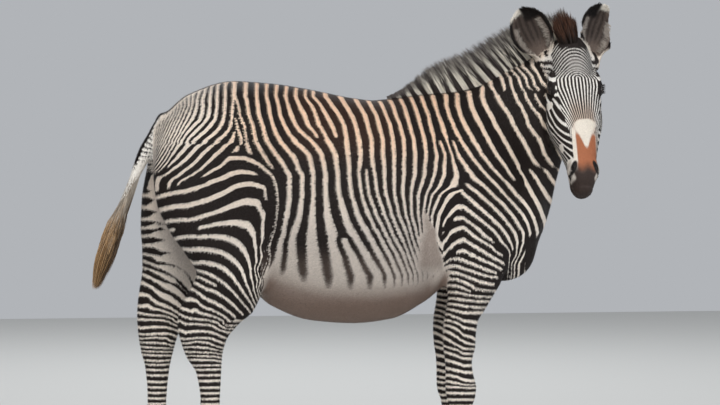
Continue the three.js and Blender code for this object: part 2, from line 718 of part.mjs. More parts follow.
// A closed skin over rings of points, each ring a loop of the same even count. The two ends are
// closed with strips across, from each point to the one that mirrors it in the loop.
function ringGeometry(rings) {
  const count = rings[0].length;
  const faces = [];
  const quad = (a, b, c, d) => faces.push([a, b, c], [a, c, d]);
  for (let r = 0; r < rings.length - 1; r++)
    for (let i = 0; i < count; i++) {
      const [a, b] = [r * count + i, r * count + ((i + 1) % count)];
      quad(a, b, b + count, a + count);
    }
  const last = (rings.length - 1) * count;
  for (let i = 0; i < count / 2 - 1; i++) {
    const j = count - 1 - i;
    quad(j, j - 1, i + 1, i);
    quad(last + i, last + i + 1, last + j - 1, last + j);
  }
  return { places: rings.flat(), faces };
}

const outward = (shape) => {
  const made = solid(shape);
  return made.volume() > 0
    ? made
    : solid({ places: shape.places, faces: shape.faces.map(([a, b, c]) => [a, c, b]) });
};

const HOOF_AHEAD = 92; // of the fetlock
const HOOF = { length: 118, width: 100, toe: 74, heel: 34, slope: 54, rings: 3, sides: 18 };

const HOOF_SLANT = Math.tan((HOOF.slope * Math.PI) / 180);
const TOP_SIZE = 0.83; // of a hoof's top, against its sole
const wallTop = (ahead) => HOOF.heel + ((HOOF.toe - HOOF.heel) * (1 + ahead)) / 2;
const wallTopX = (ahead) =>
  (HOOF.length / 2) * TOP_SIZE * ahead - (wallTop(ahead) * 0.86) / HOOF_SLANT;

// A hoof: an oval sole on the ground, walls that slope with the pastern, and a slanted top.
function hoof(centreX, centreY) {
  const rings = [];
  for (let r = 0; r <= HOOF.rings; r++) {
    const t = r / HOOF.rings;
    const ring = [];
    for (let i = 0; i < HOOF.sides; i++) {
      const angle = ((i + 0.5) / HOOF.sides) * 2 * Math.PI;
      const ahead = Math.cos(angle) * (Math.cos(angle) < 0 ? 0.9 : 1);
      ring.push([
        centreX + (HOOF.length / 2) * ahead * (1 - t) + wallTopX(ahead) * t,
        centreY + (HOOF.width / 2) * (1 - (1 - TOP_SIZE) * t) * Math.sin(angle),
        t * wallTop(ahead),
      ]);
    }
    rings.push(ring);
  }
  return outward(ringGeometry(rings));
}

// The flat cut that ends the pastern where the hoof begins.
const coronetCut = (hoofX) => {
  const slope = (wallTop(1) - wallTop(0)) / (wallTopX(1) - wallTopX(0));
  return {
    normal: [-slope, 0, 1],
    point: [hoofX + wallTopX(0), 0, wallTop(0) + GAP],
  };
};

// An ear: a wall bent round into a tube at its foot, that opens into a scoop and ends in a
// rounded tip. bend is how far round the wall goes, to each side of the ear's back.
const EAR = { length: 205, columns: 8, steps: 10 };
const EAR_SHAPE = [
  { at: 0, half: 0.34, bend: 150, back: 22, wall: 8 },
  { at: 0.16, half: 0.46, bend: 125, back: 28, wall: 8 },
  { at: 0.34, half: 0.84, bend: 84, back: 36, wall: 8 },
  { at: 0.5, half: 1, bend: 68, back: 40, wall: 7 },
  { at: 0.68, half: 0.98, bend: 60, back: 38, wall: 7 },
  { at: 0.84, half: 0.8, bend: 55, back: 30, wall: 6 },
  { at: 0.95, half: 0.5, bend: 50, back: 20, wall: 6 },
  { at: 1, half: 0.24, bend: 45, back: 14, wall: 6 },
];

function ear({ base, up, across, front, half, bite }, room = 0) {
  const shape = Object.fromEntries(
    ["half", "bend", "back", "wall"].map((name) => [name, table(EAR_SHAPE, name)]),
  );
  const rings = [];
  for (let r = 0; r <= EAR.steps; r++) {
    const k = Math.round((r / EAR.steps) * TABLE);
    const bend = (shape.bend[k] * Math.PI) / 180;
    const radius = (shape.half[k] * half) / Math.sin(Math.min(bend, Math.PI / 2));
    const rise = (EAR.length * r) / EAR.steps + (r === 0 ? -room : r === EAR.steps ? room : 0);
    const spot = (q, away) => {
      const angle = q * (bend + room / radius) * (1 - (bite ? bite(r / EAR.steps, q) : 0));
      return new THREE.Vector3(...base)
        .addScaledVector(up, rise)
        .addScaledVector(across, (radius + away) * Math.sin(angle))
        .addScaledVector(front, radius - shape.back[k] - (radius + away) * Math.cos(angle))
        .toArray();
    };
    const around = Array.from({ length: EAR.columns + 1 }, (_, c) => -1 + (2 * c) / EAR.columns);
    rings.push([
      ...around.map((q) => spot(q, -room)),
      ...around.reverse().map((q) => spot(q, shape.wall[k] + room)),
    ]);
  }
  return outward(ringGeometry(rings));
}

// The mane: where it stands, how tall it is, and how far it leans back. From the withers it
// follows the neck, and it turns with the head before it reaches the poll.
const MANE = { root: 17, tip: 6, steps: 22 };
const MANE_PATH = [
  { at: 0, x: 132, y: 0, tall: 8, lean: 0.5 },
  { at: 60, x: 190, y: 0, tall: 28, lean: 0.5 },
  { at: 130, x: 260, y: 0, tall: 62, lean: 0.5 },
  { at: 200, x: 330, y: 0, tall: 106, lean: 0.42 },
  { at: 290, x: 420, y: -1, tall: 134, lean: 0.3 },
  { at: 400, x: 525, y: -8, tall: 142, lean: 0.22 },
  { at: 510, x: 630, y: -24, tall: 146, lean: 0.16 },
  { at: 600, x: 710, y: -38, tall: 140, lean: 0.1 },
  { at: 660, x: 755, y: -66, tall: 120, lean: 0.05 },
  { at: 705, x: 775, y: -104, tall: 104, lean: 0 },
];

// The top of the flesh above a place.
function topOf(x, y) {
  let [low, high] = [1380, 1720];
  for (let i = 0; i < 30; i++) {
    const z = (low + high) / 2;
    if (flesh(x, y, z) < 0) low = z;
    else high = z;
  }
  return new THREE.Vector3(x, y, low);
}

function mane(room = 0) {
  const [xs, ys, heights, leans] = ["x", "y", "tall", "lean"].map((n) => table(MANE_PATH, n));
  const rings = [];
  for (let i = 0; i <= MANE.steps; i++) {
    const k = Math.round((i / MANE.steps) * TABLE);
    const foot = topOf(xs[k], ys[k]);
    const [k0, k1] = [Math.max(0, k - 6), Math.min(TABLE, k + 6)];
    const ahead = topOf(xs[k1], ys[k1]).sub(topOf(xs[k0], ys[k0])).normalize();
    const side = new THREE.Vector3(-ahead.y, ahead.x, 0).normalize();
    const up = new THREE.Vector3().crossVectors(ahead, side).normalize();
    const lean = up.addScaledVector(ahead, -leans[k]).normalize();
    const tall = heights[k];
    const levels = [-Math.min(0.6, 22 / tall) - room / tall, 0.3, 0.7, 1];
    const spot = (level, way) => {
      const half = MANE.root + (MANE.tip - MANE.root) * clamp(level, 0, 1) ** 1.4;
      return foot
        .clone()
        .addScaledVector(lean, tall * level)
        .addScaledVector(side, way * (Math.min(half, 4 + tall * 0.4) + room))
        .addScaledVector(ahead, i === 0 ? -room : i === MANE.steps ? room : 0)
        .toArray();
    };
    rings.push([
      ...levels.map((level) => spot(level, 1)),
      ...[...levels].reverse().map((level) => spot(level, -1)),
    ]);
  }
  return outward(ringGeometry(rings));
}

// The forelock: the mane's last tuft, from the forehead up between the ears.
const FORELOCK = { height: 146, half: 48, deep: 26, steps: 7, sides: 12 };

function forelock(room = 0) {
  const foot = new THREE.Vector3(...HEAD.place(28, -16, -4));
  const up = new THREE.Vector3(-0.3, 0.02, 1).normalize();
  const across = new THREE.Vector3(1, 0, 0.24).normalize();
  const deep = new THREE.Vector3().crossVectors(up, across);
  const rings = [];
  for (let r = 0; r <= FORELOCK.steps; r++) {
    const t = r / FORELOCK.steps;
    const grow = (0.55 + 0.5 * Math.sin(Math.PI * Math.min(1, t * 0.9))) * (1 - 0.7 * t ** 6);
    const ring = [];
    for (let i = 0; i < FORELOCK.sides; i++) {
      const angle = ((i + 0.5) / FORELOCK.sides) * 2 * Math.PI;
      const spot = foot
        .clone()
        .addScaledVector(up, FORELOCK.height * t - room)
        .addScaledVector(across, (FORELOCK.half * grow + room) * Math.cos(angle))
        .addScaledVector(deep, (FORELOCK.deep * grow + room) * Math.sin(angle));
      ring.push(spot.toArray());
    }
    rings.push(ring);
  }
  return outward(ringGeometry(rings));
}

// The tuft of long hair round the end of the tail.
function tailHair() {
  const half = table(TAIL_HAIR, "half");
  const [first, last] = [TAIL_HAIR[0].at, TAIL_HAIR.at(-1).at];
  const rings = [];
  const steps = 11;
  const sides = 12;
  for (let r = 0; r <= steps; r++) {
    const at = first + ((last - first) * r) / steps;
    const middle = tailMiddle(at);
    const size = half[Math.round((r / steps) * TABLE)];
    const ring = [];
    for (let i = 0; i < sides; i++) {
      const angle = ((i + 0.5) / sides) * 2 * Math.PI;
      ring.push([
        middle[0] + size * Math.cos(angle),
        middle[1] + size * 0.9 * Math.sin(angle),
        middle[2],
      ]);
    }
    rings.push(ring);
  }
  return outward(ringGeometry(rings));
}

// ---------- building the animal ----------

const HIDE = { colour: 0xcdbfae, roughness: 0.85 };
const STRIPE = { colour: 0x2b2624, roughness: 0.85 };
const HAIR = { colour: 0x3a302b, roughness: 0.9 };
const HORN = { colour: 0x2e2a27, roughness: 0.55 };
const EYE = { colour: 0x120c0a, roughness: 0.08 };

const zebra = new THREE.Group();
zebra.position.set(-MIDDLE[0], -MIDDLE[1], 0);

function add(name, made, { colour, roughness }) {
  const mesh = new THREE.Mesh(
    geometryOf(made.simplify(0.1)),
    new THREE.MeshStandardMaterial({ color: colour, roughness, metalness: 0 }),
  );
  mesh.name = name;
  zebra.add(mesh);
}

// How dear each place is when the surface is thinned: the head and lower legs keep more of it.
const inHead = ([x, y, z]) => z > 1060 && x > 640 && y < -20 - (z - 1060) * 0.03;
const care = (p) => (inHead(p) ? 14 : p[2] < 620 ? 5 : 1);

const BODY_TRIANGLES = 2940;
const wholeBody = solid(
  thin(surface(flesh, [-960, -470, -20], [930, 420, 1760], 13), BODY_TRIANGLES, care),
);

// The head again, on a finer grid, in place of the whole body's.
const HEAD_TRIANGLES = 900;
const fineHead = solid(
  thin(surface(flesh, [560, -560, 1040], [960, 90, 1760], 7), HEAD_TRIANGLES, () => 1),
);

const throat = { normal: [0.66, -0.62, 0.2], point: HEAD.place(62, -158, -52) };
const [, bodyAlone] = partAt(wholeBody, throat.normal, throat.point);
const [headAlone] = partAt(fineHead, throat.normal, throat.point);

// Ears, mane and forelock stand in hollows a little larger than they are.
const earAt = (side) => {
  const lean = ((side === RIGHT ? 28 : -14) * Math.PI) / 180;
  const up = new THREE.Vector3(-Math.sin(lean), 0.03, Math.cos(lean)).normalize();
  const front = new THREE.Vector3(side === RIGHT ? -0.12 : 0.3, -1, 0.05);
  front.addScaledVector(up, -front.dot(up)).normalize();
  const across = new THREE.Vector3().crossVectors(front, up).normalize();
  return {
    base: HEAD.place(44, -84, side * 84),
    up,
    front,
    across,
    half: side === RIGHT ? 69 : 67,
    bite: side === LEFT ? (t, q) => (q > 0 ? 0.5 * Math.exp(-(((t - 0.5) / 0.08) ** 2)) : 0) : null,
  };
};
const hollows = [mane(GAP), forelock(GAP), ear(earAt(RIGHT), GAP), ear(earAt(LEFT), GAP)];
const clear = (made, which = hollows) =>
  largest(which.reduce((left, hollow) => left.subtract(hollow), made));

let head = largest(headAlone);
for (const side of [RIGHT, LEFT]) {
  const ball = solidFrom(new THREE.SphereGeometry(EYE_RADIUS, 14, 8)).translate(eyePlace(side));
  add(side === RIGHT ? "eye_right" : "eye_left", ball, EYE);
  head = head.subtract(
    solidFrom(new THREE.SphereGeometry(EYE_RADIUS + 2 * GAP, 14, 8)).translate(eyePlace(side)),
  );
}
head = largest(head);

// The muzzle and the lower jaw are parted from the head.
const jawPlane = { normal: HEAD.axes[1], point: HEAD.place(0, -100, 0) };
const [frontFace, backFace] = partAt(head, HEAD.axes[0], HEAD.place(452, 0, 0));
const [muzzle, jaw] = partAt(frontFace, jawPlane.normal, jawPlane.point);
add("head", clear(backFace), HIDE);
add("muzzle", largest(muzzle), STRIPE);
add("lower_jaw", largest(jaw), STRIPE);

// The trunk is parted behind the shoulders and before the hips, and the neck from the shoulders.
const [front, middleAndBack] = part(largest(bodyAlone), [1, 0, 0], 312);
const [belly, back] = part(middleAndBack, [1, 0, 0], -310);
const neckPoint = topOf(330, 0);
const [neckBlock, frontBlock] = partAt(front, NECK_AXES[0], neckPoint.toArray());
const [chest, forelegs] = part(frontBlock, [0, 0, 1], 744);
add("neck", clear(neckBlock), HIDE);
add("shoulders", clear(chest), STRIPE);
add("barrel", clear(belly), HIDE);

const [hindquarters, hindlegs] = partAt(back, [0.58, 0, 1], [-330, 0, 690]);
const [rumpAndThighs, dock] = partAt(hindquarters, [1, 0, -0.3], [-721, 0, 1340]);
const hairTop = TAIL_ROOT[2] - TAIL_HAIR[0].at;
add("tail_dock", largest(dock.trimByPlane([0, 0, 1], hairTop + GAP)), HIDE);
const [rump, thighs] = part(rumpAndThighs, [0, 0, 1], 1175);
const [thighLeft, thighRight] = part(thighs, [0, 1, 0], 0);
add("rump", largest(rump), STRIPE);
add("thigh_right", largest(thighRight), HIDE);
add("thigh_left", largest(thighLeft), STRIPE);

add("tail_hair", tailHair(), HAIR);

add("ear_right", clear(ear(earAt(RIGHT)), hollows.slice(0, 2)), STRIPE);
add("ear_left", clear(ear(earAt(LEFT)), hollows.slice(0, 2)), STRIPE);
add("mane", mane(), HAIR);
add("forelock", clear(forelock(), hollows.slice(0, 1)), HAIR);

// Each leg is parted at its joints, from the top down.
const FORE_CUTS = { knee: 462, cannon: 348, pastern: 212 };
const HIND_CUTS = { hock: 690, cannon: 520, pastern: 232 };

function addLeg(name, made, cuts, upper, colours) {
  const { fetlock, side, sections } = LEGS[name];
  const names = [upper, ...Object.keys(cuts)];
  let rest = made;
  Object.values(cuts).forEach((height, i) => {
    const [above, below] = part(rest, [0, 0, 1], height);
    add(name + "_" + names[i], largest(above), colours[i % 2]);
    rest = below;
  });
  const cut = coronetCut(fetlock + HOOF_AHEAD);
  add(name + "_" + names.at(-1), largest(partAt(rest, cut.normal, cut.point)[0]), colours[1]);
  add(name + "_hoof", hoof(fetlock + HOOF_AHEAD, side * sections[0].mid), HORN);
}

const fore = bySide(forelegs);
const hind = bySide(hindlegs);
addLeg("foreleg_right", fore.right, FORE_CUTS, "forearm", [HIDE, STRIPE]);
addLeg("foreleg_left", fore.left, FORE_CUTS, "forearm", [HIDE, STRIPE]);
addLeg("hindleg_right", hind.right, HIND_CUTS, "gaskin", [HIDE, STRIPE]);
addLeg("hindleg_left", hind.left, HIND_CUTS, "gaskin", [HIDE, STRIPE]);

export default zebra;
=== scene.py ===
"""A standing Grevy's zebra mare, life size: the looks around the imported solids.

The skin is the same smooth field that the solids were cut from, drawn again much finer and a
coat's depth lower. Its stripes are phases worked out at every vertex, and the shader turns them
into light and dark. The coat, mane, forelock, tail and ear hair are tufts that grow from the
skin and take their colours from the same phases.

Shapes are in millimetres in the body's own frame: +X is the way the body faces, +Y its left,
+Z up. They become metres in the row's frame when a Blender mesh is made.
"""

import math

import bpy
import numpy as np
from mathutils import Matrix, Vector
from mathutils.kdtree import KDTree


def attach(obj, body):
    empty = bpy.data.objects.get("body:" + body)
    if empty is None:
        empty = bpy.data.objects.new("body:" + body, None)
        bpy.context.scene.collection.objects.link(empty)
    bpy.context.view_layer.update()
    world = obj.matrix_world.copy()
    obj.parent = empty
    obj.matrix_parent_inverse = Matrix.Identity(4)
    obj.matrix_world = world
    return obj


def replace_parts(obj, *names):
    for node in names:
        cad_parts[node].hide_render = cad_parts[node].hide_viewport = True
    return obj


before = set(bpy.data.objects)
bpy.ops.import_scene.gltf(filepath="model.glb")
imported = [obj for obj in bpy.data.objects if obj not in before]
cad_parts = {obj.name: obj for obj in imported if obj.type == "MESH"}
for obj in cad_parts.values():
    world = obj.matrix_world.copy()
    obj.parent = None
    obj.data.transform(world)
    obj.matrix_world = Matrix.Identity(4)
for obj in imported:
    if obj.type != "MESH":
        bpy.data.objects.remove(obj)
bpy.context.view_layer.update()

# ---------- the row's frame, the head's frame ----------

ROW_ORIGIN = np.array([-2.6, -30.8, 0.0])  # where the row's origin is in the body's frame
POLL = np.array([782.0, -150.0, 1672.0])
HEAD_TURN = math.radians(-89.5)
HEAD_DROP = math.radians(63)
NECK_SLOPE = math.radians(27)
EYE_RADIUS = 20.0
RIGHT, LEFT = -1, 1
VIEW_AHEAD, VIEW_ABOVE = math.radians(9), math.radians(2.5)  # where the camera stands
VIEW_MIDDLE = (25.2, -4.0, 1075)
VIEW_WIDTH = 2.628  # metres across the picture, at the animal
# The flank as the camera sees it: how far ahead and how low each millimetre counts.
FLANK_AHEAD, FLANK_ASIDE = math.cos(VIEW_AHEAD), math.sin(VIEW_AHEAD)
FLANK_DROP = 0.043
RNG = np.random.default_rng(7)


def to_row(p):
    return (np.asarray(p, float) - ROW_ORIGIN) / 1000


def unit(v):
    v = np.asarray(v, float)
    return v / np.linalg.norm(v, axis=-1, keepdims=True)


def head_axes():
    """Along the face, out of the forehead, and to the head's left."""
    facing = np.array([math.cos(HEAD_TURN), math.sin(HEAD_TURN), 0])
    down = np.array([0, 0, -1.0])
    along = facing * math.cos(HEAD_DROP) + down * math.sin(HEAD_DROP)
    out = facing * math.sin(HEAD_DROP) - down * math.cos(HEAD_DROP)
    return np.array([along, out, -np.cross(along, out)])


HEAD = head_axes()


def in_head(p):
    """A point's place along the face, out of it and to its left."""
    return (np.asarray(p, float) - POLL) @ HEAD.T


def at_head(along, out, left):
    return POLL + along * HEAD[0] + out * HEAD[1] + left * HEAD[2]


# ---------- the body's sections, as in the solids ----------
# Columns: place along the loft, top, bottom, where it is widest, half its width, and its middle.

TRUNK = [
    (-690, 1402, 1150, 1280, 105, 0),
    (-600, 1474, 1010, 1250, 192, 0),
    (-440, 1520, 850, 1180, 248, 0),
    (-300, 1511, 700, 1080, 268, 0),
    (-150, 1487, 645, 985, 305, 0),
    (0, 1457, 634, 950, 326, 0),
    (130, 1443, 648, 955, 318, 0),
    (250, 1440, 706, 985, 284, 0),
    (350, 1440, 776, 1030, 238, 0),
    (460, 1420, 800, 1070, 200, 0),
    (570, 1330, 832, 1060, 165, 0),
    (640, 1230, 905, 1050, 120, 0),
]
NECK = [
    (860, 1140, 470, 800, 178, 0),
    (935, 1148, 476, 790, 158, 0),
    (1022, 1138, 518, 790, 136, 0),
    (1119, 1128, 600, 835, 116, -4),
    (1213, 1130, 706, 890, 100, -15),
    (1290, 1132, 790, 935, 90, -30),
    (1385, 1136, 880, 985, 82, -48),
]
FACE = [
    (0, -6, -170, -85, 60, 0),
    (60, 6, -222, -95, 72, 0),
    (110, 12, -250, -95, 82, 0),
    (160, 13, -264, -92, 92, 0),
    (205, 9, -264, -98, 98, 0),
    (255, 4, -248, -102, 99, 0),
    (310, 1, -216, -100, 95, 0),
    (370, 0, -176, -86, 81, 0),
    (430, 0, -148, -72, 64, 0),
    (480, -2, -134, -66, 53, 0),
    (520, -6, -130, -66, 50, 0),
    (550, -16, -128, -70, 43, 0),
    (572, -32, -118, -74, 34, 0),
]
FORELEG = [
    (340, 424, 336, 385, 31, 118),
    (370, 433, 325, 388, 41, 118),
    (405, 436, 321, 388, 44, 119),
    (450, 425, 321, 382, 43, 121),
    (495, 419, 319, 375, 41, 124),
    (555, 431, 311, 372, 46, 128),
    (600, 433, 309, 372, 51, 131),
    (646, 440, 312, 376, 56, 134),
    (690, 466, 320, 388, 61, 137),
    (735, 492, 325, 400, 66, 140),
    (790, 524, 322, 415, 72, 142),
    (870, 550, 312, 425, 72, 142),
    (960, 545, 320, 430, 60, 135),
]
HIND_TOP = [
    (1180, -310, -746, -510, 119, 137),
    (1270, -325, -728, -512, 108, 124),
    (1350, -350, -690, -505, 88, 108),
]
NEAR_HIND_LEG = [
    (270, -510, -578, -544, 26, 128),
    (370, -505, -577, -539, 26, 127),
    (470, -500, -592, -540, 32, 126),
    (530, -496, -628, -548, 42, 127),
    (590, -480, -650, -548, 47, 130),
    (645, -438, -662, -522, 48, 136),
    (695, -384, -656, -488, 56, 146),
    (760, -362, -626, -466, 72, 158),
    (830, -350, -596, -455, 88, 164),
    (900, -336, -634, -460, 101, 162),
    (985, -322, -692, -478, 113, 154),
    (1095, -312, -738, -498, 121, 144),
] + HIND_TOP
FAR_HIND_LEG = [
    (270, -676, -744, -709, 26, 122),
    (370, -671, -743, -705, 26, 121),
    (470, -660, -751, -699, 32, 121),
    (530, -646, -766, -694, 42, 122),
    (590, -628, -776, -686, 47, 126),
    (645, -606, -780, -670, 48, 132),
    (695, -578, -778, -645, 56, 142),
    (760, -530, -768, -612, 70, 154),
    (830, -470, -758, -578, 86, 160),
    (900, -420, -758, -555, 100, 160),
    (985, -370, -764, -535, 113, 154),
    (1095, -326, -760, -520, 121, 144),
] + HIND_TOP
# Edges are counted from the fetlock's middle.
FOOT = [
    (26, 92, 30, 60, 40),
    (55, 90, 22, 58, 39),
    (85, 76, 12, 44, 33),
    (115, 61, -6, 27, 29),
    (145, 50, -30, 12, 31),
    (172, 43, -44, 3, 35),
    (200, 33, -40, 0, 31),
    (235, 28, -35, 0, 26),
]
# Depth below the tail's root, how far the middle is behind it, and half the width.
TAIL = [
    (0, -8, 26),
    (26, 6, 35),
    (89, 46, 34),
    (158, 82, 25),
    (208, 104, 19),
    (284, 138, 16),
    (334, 158, 15),
    (400, 180, 14),
]
TAIL_ROOT = np.array([-698.0, 0, 1375])
LEGS = {
    "foreleg_right": {"side": RIGHT, "fetlock": 384, "lift": 1, "shift": 0, "rows": FORELEG},
    "foreleg_left": {"side": LEFT, "fetlock": 394, "lift": 1, "shift": 10, "rows": FORELEG},
    "hindleg_right": {"side": RIGHT, "fetlock": -543, "lift": 1.08, "shift": 0, "rows": NEAR_HIND_LEG},
    "hindleg_left": {"side": LEFT, "fetlock": -707, "lift": 1.08, "shift": 0, "rows": FAR_HIND_LEG},
}
HOOF_AHEAD = 92  # of the fetlock
EAR_LENGTH = 205
# Place up the ear, its half width, how far round the wall goes, its depth, and its thickness.
EAR_SHAPE = [
    (0, 0.34, 150, 22, 8),
    (0.16, 0.46, 125, 28, 8),
    (0.34, 0.84, 84, 36, 8),
    (0.5, 1, 68, 40, 7),
    (0.68, 0.98, 60, 38, 7),
    (0.84, 0.8, 55, 30, 6),
    (0.95, 0.5, 50, 20, 6),
    (1, 0.24, 45, 14, 6),
]

# ---------- smooth curves through rows ----------

TABLE = 400


def curve(rows, column):
    """An even table of a monotone cubic through one column of the rows."""
    rows = np.array(rows, float)
    x, y = rows[:, 0], rows[:, column]
    step = np.diff(x)
    rise = np.diff(y) / step
    before, after = rise[:-1], rise[1:]
    total = np.where(before + after == 0, 1, before + after)
    inner = np.where(before * after > 0, 2 * before * after / total, 0)
    slope = np.concatenate([rise[:1], inner, rise[-1:]])
    at = np.linspace(x[0], x[-1], TABLE + 1)
    i = np.clip(np.searchsorted(x, at, side="right") - 1, 0, len(step) - 1)
    t = (at - x[i]) / step[i]
    return (
        (2 * t**3 - 3 * t**2 + 1) * y[i]
        + (t**3 - 2 * t**2 + t) * step[i] * slope[i]
        + (3 * t**2 - 2 * t**3) * y[i + 1]
        + (t**3 - t**2) * step[i] * slope[i + 1]
    )


def reader(rows):
    """A function from places along the rows to every column's value there."""
    columns = [curve(rows, c) for c in range(1, len(rows[0]))]
    first, last = rows[0][0], rows[-1][0]

    def read(at):
        k = np.clip((at - first) / (last - first), 0, 1) * TABLE
        i = np.minimum(k.astype(int), TABLE - 1)
        f = k - i
        return [c[i] + (c[i + 1] - c[i]) * f for c in columns]

    return read


def smooth(low, high, v):
    """0 below low, 1 above high, and a smooth step between them."""
    t = np.clip((v - low) / (high - low), 0, 1)
    return t * t * (3 - 2 * t)


# ---------- the field: about the distance from a surface, below zero inside ----------


def loft(axes, rows, caps, origin=(0, 0, 0), flat=2.0):
    """A body along a straight axis, with an egg-shaped section at each place and domed ends."""
    along, up, left = np.array(axes, float)
    origin = np.array(origin, float)
    first, last = rows[0][0], rows[-1][0]
    read = reader(rows)

    def field(p):
        d = p - origin
        t = d @ along
        on = np.clip(t, first, last)
        top, bottom, wide, half, mid = read(on)
        u = d @ left - mid
        v = d @ up - wide
        out = np.sqrt(u * u + v * v + (t - on) ** 2)
        tall = np.where(v > 0, top - wide, wide - bottom)
        over = (t - on) / np.where(t < first, caps[0], caps[1])
        a, b = np.abs(u) / half, np.abs(v) / tall
        round_part = a * a + b * b if flat == 2 else (a**flat + b**flat) ** (2 / flat)
        share = np.maximum(np.sqrt(round_part + over * over), 1e-3)
        return out * (1 - 1 / share)

    return field


def bulge(centre, radii, axes=np.eye(3)):
    """A muscle: a ball stretched to three radii along three axes, with its centre and reach."""
    centre, radii, axes = np.array(centre, float), np.array(radii, float), np.array(axes)

    def field(p):
        d = p - centre
        out = np.linalg.norm(d, axis=1)
        share = np.maximum(np.linalg.norm((d @ axes.T) / radii, axis=1), 1e-3)
        return out * (1 - 1 / share)

    return field, centre, radii.max()


def join(a, b, k):
    """The smaller of two fields, blended where they are within k of each other."""
    h = np.maximum(k - np.abs(a - b), 0) / k
    return np.minimum(a, b) - h * h * k / 4


def add_bulges(f, p, bulges, k, sign=1):
    """Joins bulges to the field f at points p, or carves them out of it where sign is -1."""
    for field, centre, reach in bulges:
        near = np.flatnonzero(((p - centre) ** 2).sum(1) < (reach + k + 25) ** 2)
        if len(near):
            f[near] = sign * join(sign * f[near], field(p[near]), k)
    return f


def turned(degrees):
    """The body's axes turned about +Y."""
    c, s = math.cos(math.radians(degrees)), math.sin(math.radians(degrees))
    return [[c, 0, -s], [0, 1, 0], [s, 0, c]]


def both(make):
    return [make(RIGHT), make(LEFT)]


LEG_AXES = [[0, 0, 1], [1, 0, 0], [0, 1, 0]]
NECK_AXES = [
    [math.cos(NECK_SLOPE), 0, math.sin(NECK_SLOPE)],
    [-math.sin(NECK_SLOPE), 0, math.cos(NECK_SLOPE)],
    [0, 1, 0],
]


def leg_field(side, fetlock, lift, shift, rows):
    middle = side * rows[0][5]
    foot = [
        (at * lift, top + fetlock, bottom + fetlock, wide + fetlock, half, middle)
        for at, top, bottom, wide, half in FOOT
    ]
    shank = [
        (at, top + shift, bottom + shift, wide + shift, half, side * mid)
        for at, top, bottom, wide, half, mid in rows
    ]
    return loft(LEG_AXES, foot + shank, (30, 70))


trunk_field = loft([[1, 0, 0], [0, 0, 1], [0, 1, 0]], TRUNK, (50, 46), flat=2.15)
neck_field = loft(NECK_AXES, NECK, (80, 60))
face_field = loft(HEAD, FACE, (34, 26), POLL, flat=2.3)
leg_fields = {name: leg_field(**leg) for name, leg in LEGS.items()}
MUSCLES = [
    bulge([236, 0, 1392], [190, 62, 66], turned(-4)),
    *both(lambda s: bulge([-460, s * 110, 1335], [200, 122, 150])),
    *both(lambda s: bulge([-350, s * 185, 1300], [80, 62, 100])),
    *both(lambda s: bulge([375, s * 98, 1150], [120, 84, 225], turned(16))),
    *both(lambda s: bulge([395, s * 150, 950], [130, 66, 120], turned(-25))),
    *both(lambda s: bulge([585, s * 95, 1010], [84, 74, 130], turned(20))),
    *both(lambda s: bulge([575, s * 52, 880], [82, 60, 84])),
    *both(lambda s: bulge([-425, s * 172, 860], [80, 66, 150], turned(16))),
]
HEAD_BULGES = [
    *both(lambda s: bulge(at_head(168, -26, s * 79), [50, 16, 20], HEAD)),  # brow
    *both(lambda s: bulge(at_head(212, -72, s * 80), [46, 15, 18], HEAD)),  # below the eye
    *both(lambda s: bulge(at_head(280, -86, s * 80), [64, 14, 17], HEAD)),  # cheek ridge
    *both(lambda s: bulge(at_head(235, -165, s * 68), [110, 82, 33], HEAD)),  # cheek
    *both(lambda s: bulge(at_head(54, -84, s * 76), [46, 38, 36], HEAD)),  # root of the ear
    *both(lambda s: bulge(at_head(508, -38, s * 32), [36, 28, 21], HEAD)),  # nostril
    bulge(at_head(545, -116, 0), [38, 24, 34], HEAD),  # chin
    bulge(at_head(44, -44, 0), [74, 48, 66], HEAD),  # crown
]


TAIL_READ = reader(TAIL)


def dock_field(p):
    length = TAIL[-1][0]
    at = np.clip(TAIL_ROOT[2] - p[:, 2], 0, length)
    reach, half = TAIL_READ(at)
    side = np.hypot(p[:, 0] - TAIL_ROOT[0] + reach, p[:, 1])
    beyond = np.maximum(0, np.abs(p[:, 2] - TAIL_ROOT[2] + at) - 1)
    return (np.hypot(side, beyond) - half) * 0.95


def head_part(p):
    """The head without its eyes' and nostrils' openings."""
    f = face_field(p)
    return add_bulges(f, p, HEAD_BULGES, 22)


def leg_pair(name):
    """The field of a pair of legs."""
    return lambda p: np.minimum(leg_fields[name + "_right"](p), leg_fields[name + "_left"](p))


def join_where(f, p, near, field, k):
    """Joins a field to f where near says, and leaves the rest as it is."""
    near = np.flatnonzero(near)
    if len(near):
        f[near] = join(f[near], field(p[near]), k)


def flesh(p):
    """The whole animal's field, as the solids have it, but for openings in the head."""
    x, y, z = p.T
    f = join(trunk_field(p), neck_field(p), 90)
    f = add_bulges(f, p, MUSCLES, 60)
    join_where(f, p, (x < -180) & (z < 1480), leg_pair("hindleg"), 60)
    join_where(f, p, (x > 180) & (z < 1480), leg_pair("foreleg"), 45)
    join_where(f, p, (x < -560) & (z > 900), dock_field, 26)
    join_where(f, p, (x > 520) & (y < 130) & (z > 980), head_part, 34)
    return f


# ---------- ears ----------


def ear_frame(side):
    lean = math.radians(28 if side == RIGHT else -14)
    up = unit([-math.sin(lean), 0.03, math.cos(lean)])
    front = np.array([-0.12 if side == RIGHT else 0.3, -1, 0.05])
    front = unit(front - up * (front @ up))
    return {
        "side": side,
        "base": at_head(44, -84, side * 84),
        "up": up,
        "front": front,
        "across": unit(np.cross(front, up)),
        "half": 69 if side == RIGHT else 67,
    }


EARS = {side: ear_frame(side) for side in (RIGHT, LEFT)}
EAR_READ = reader(EAR_SHAPE)


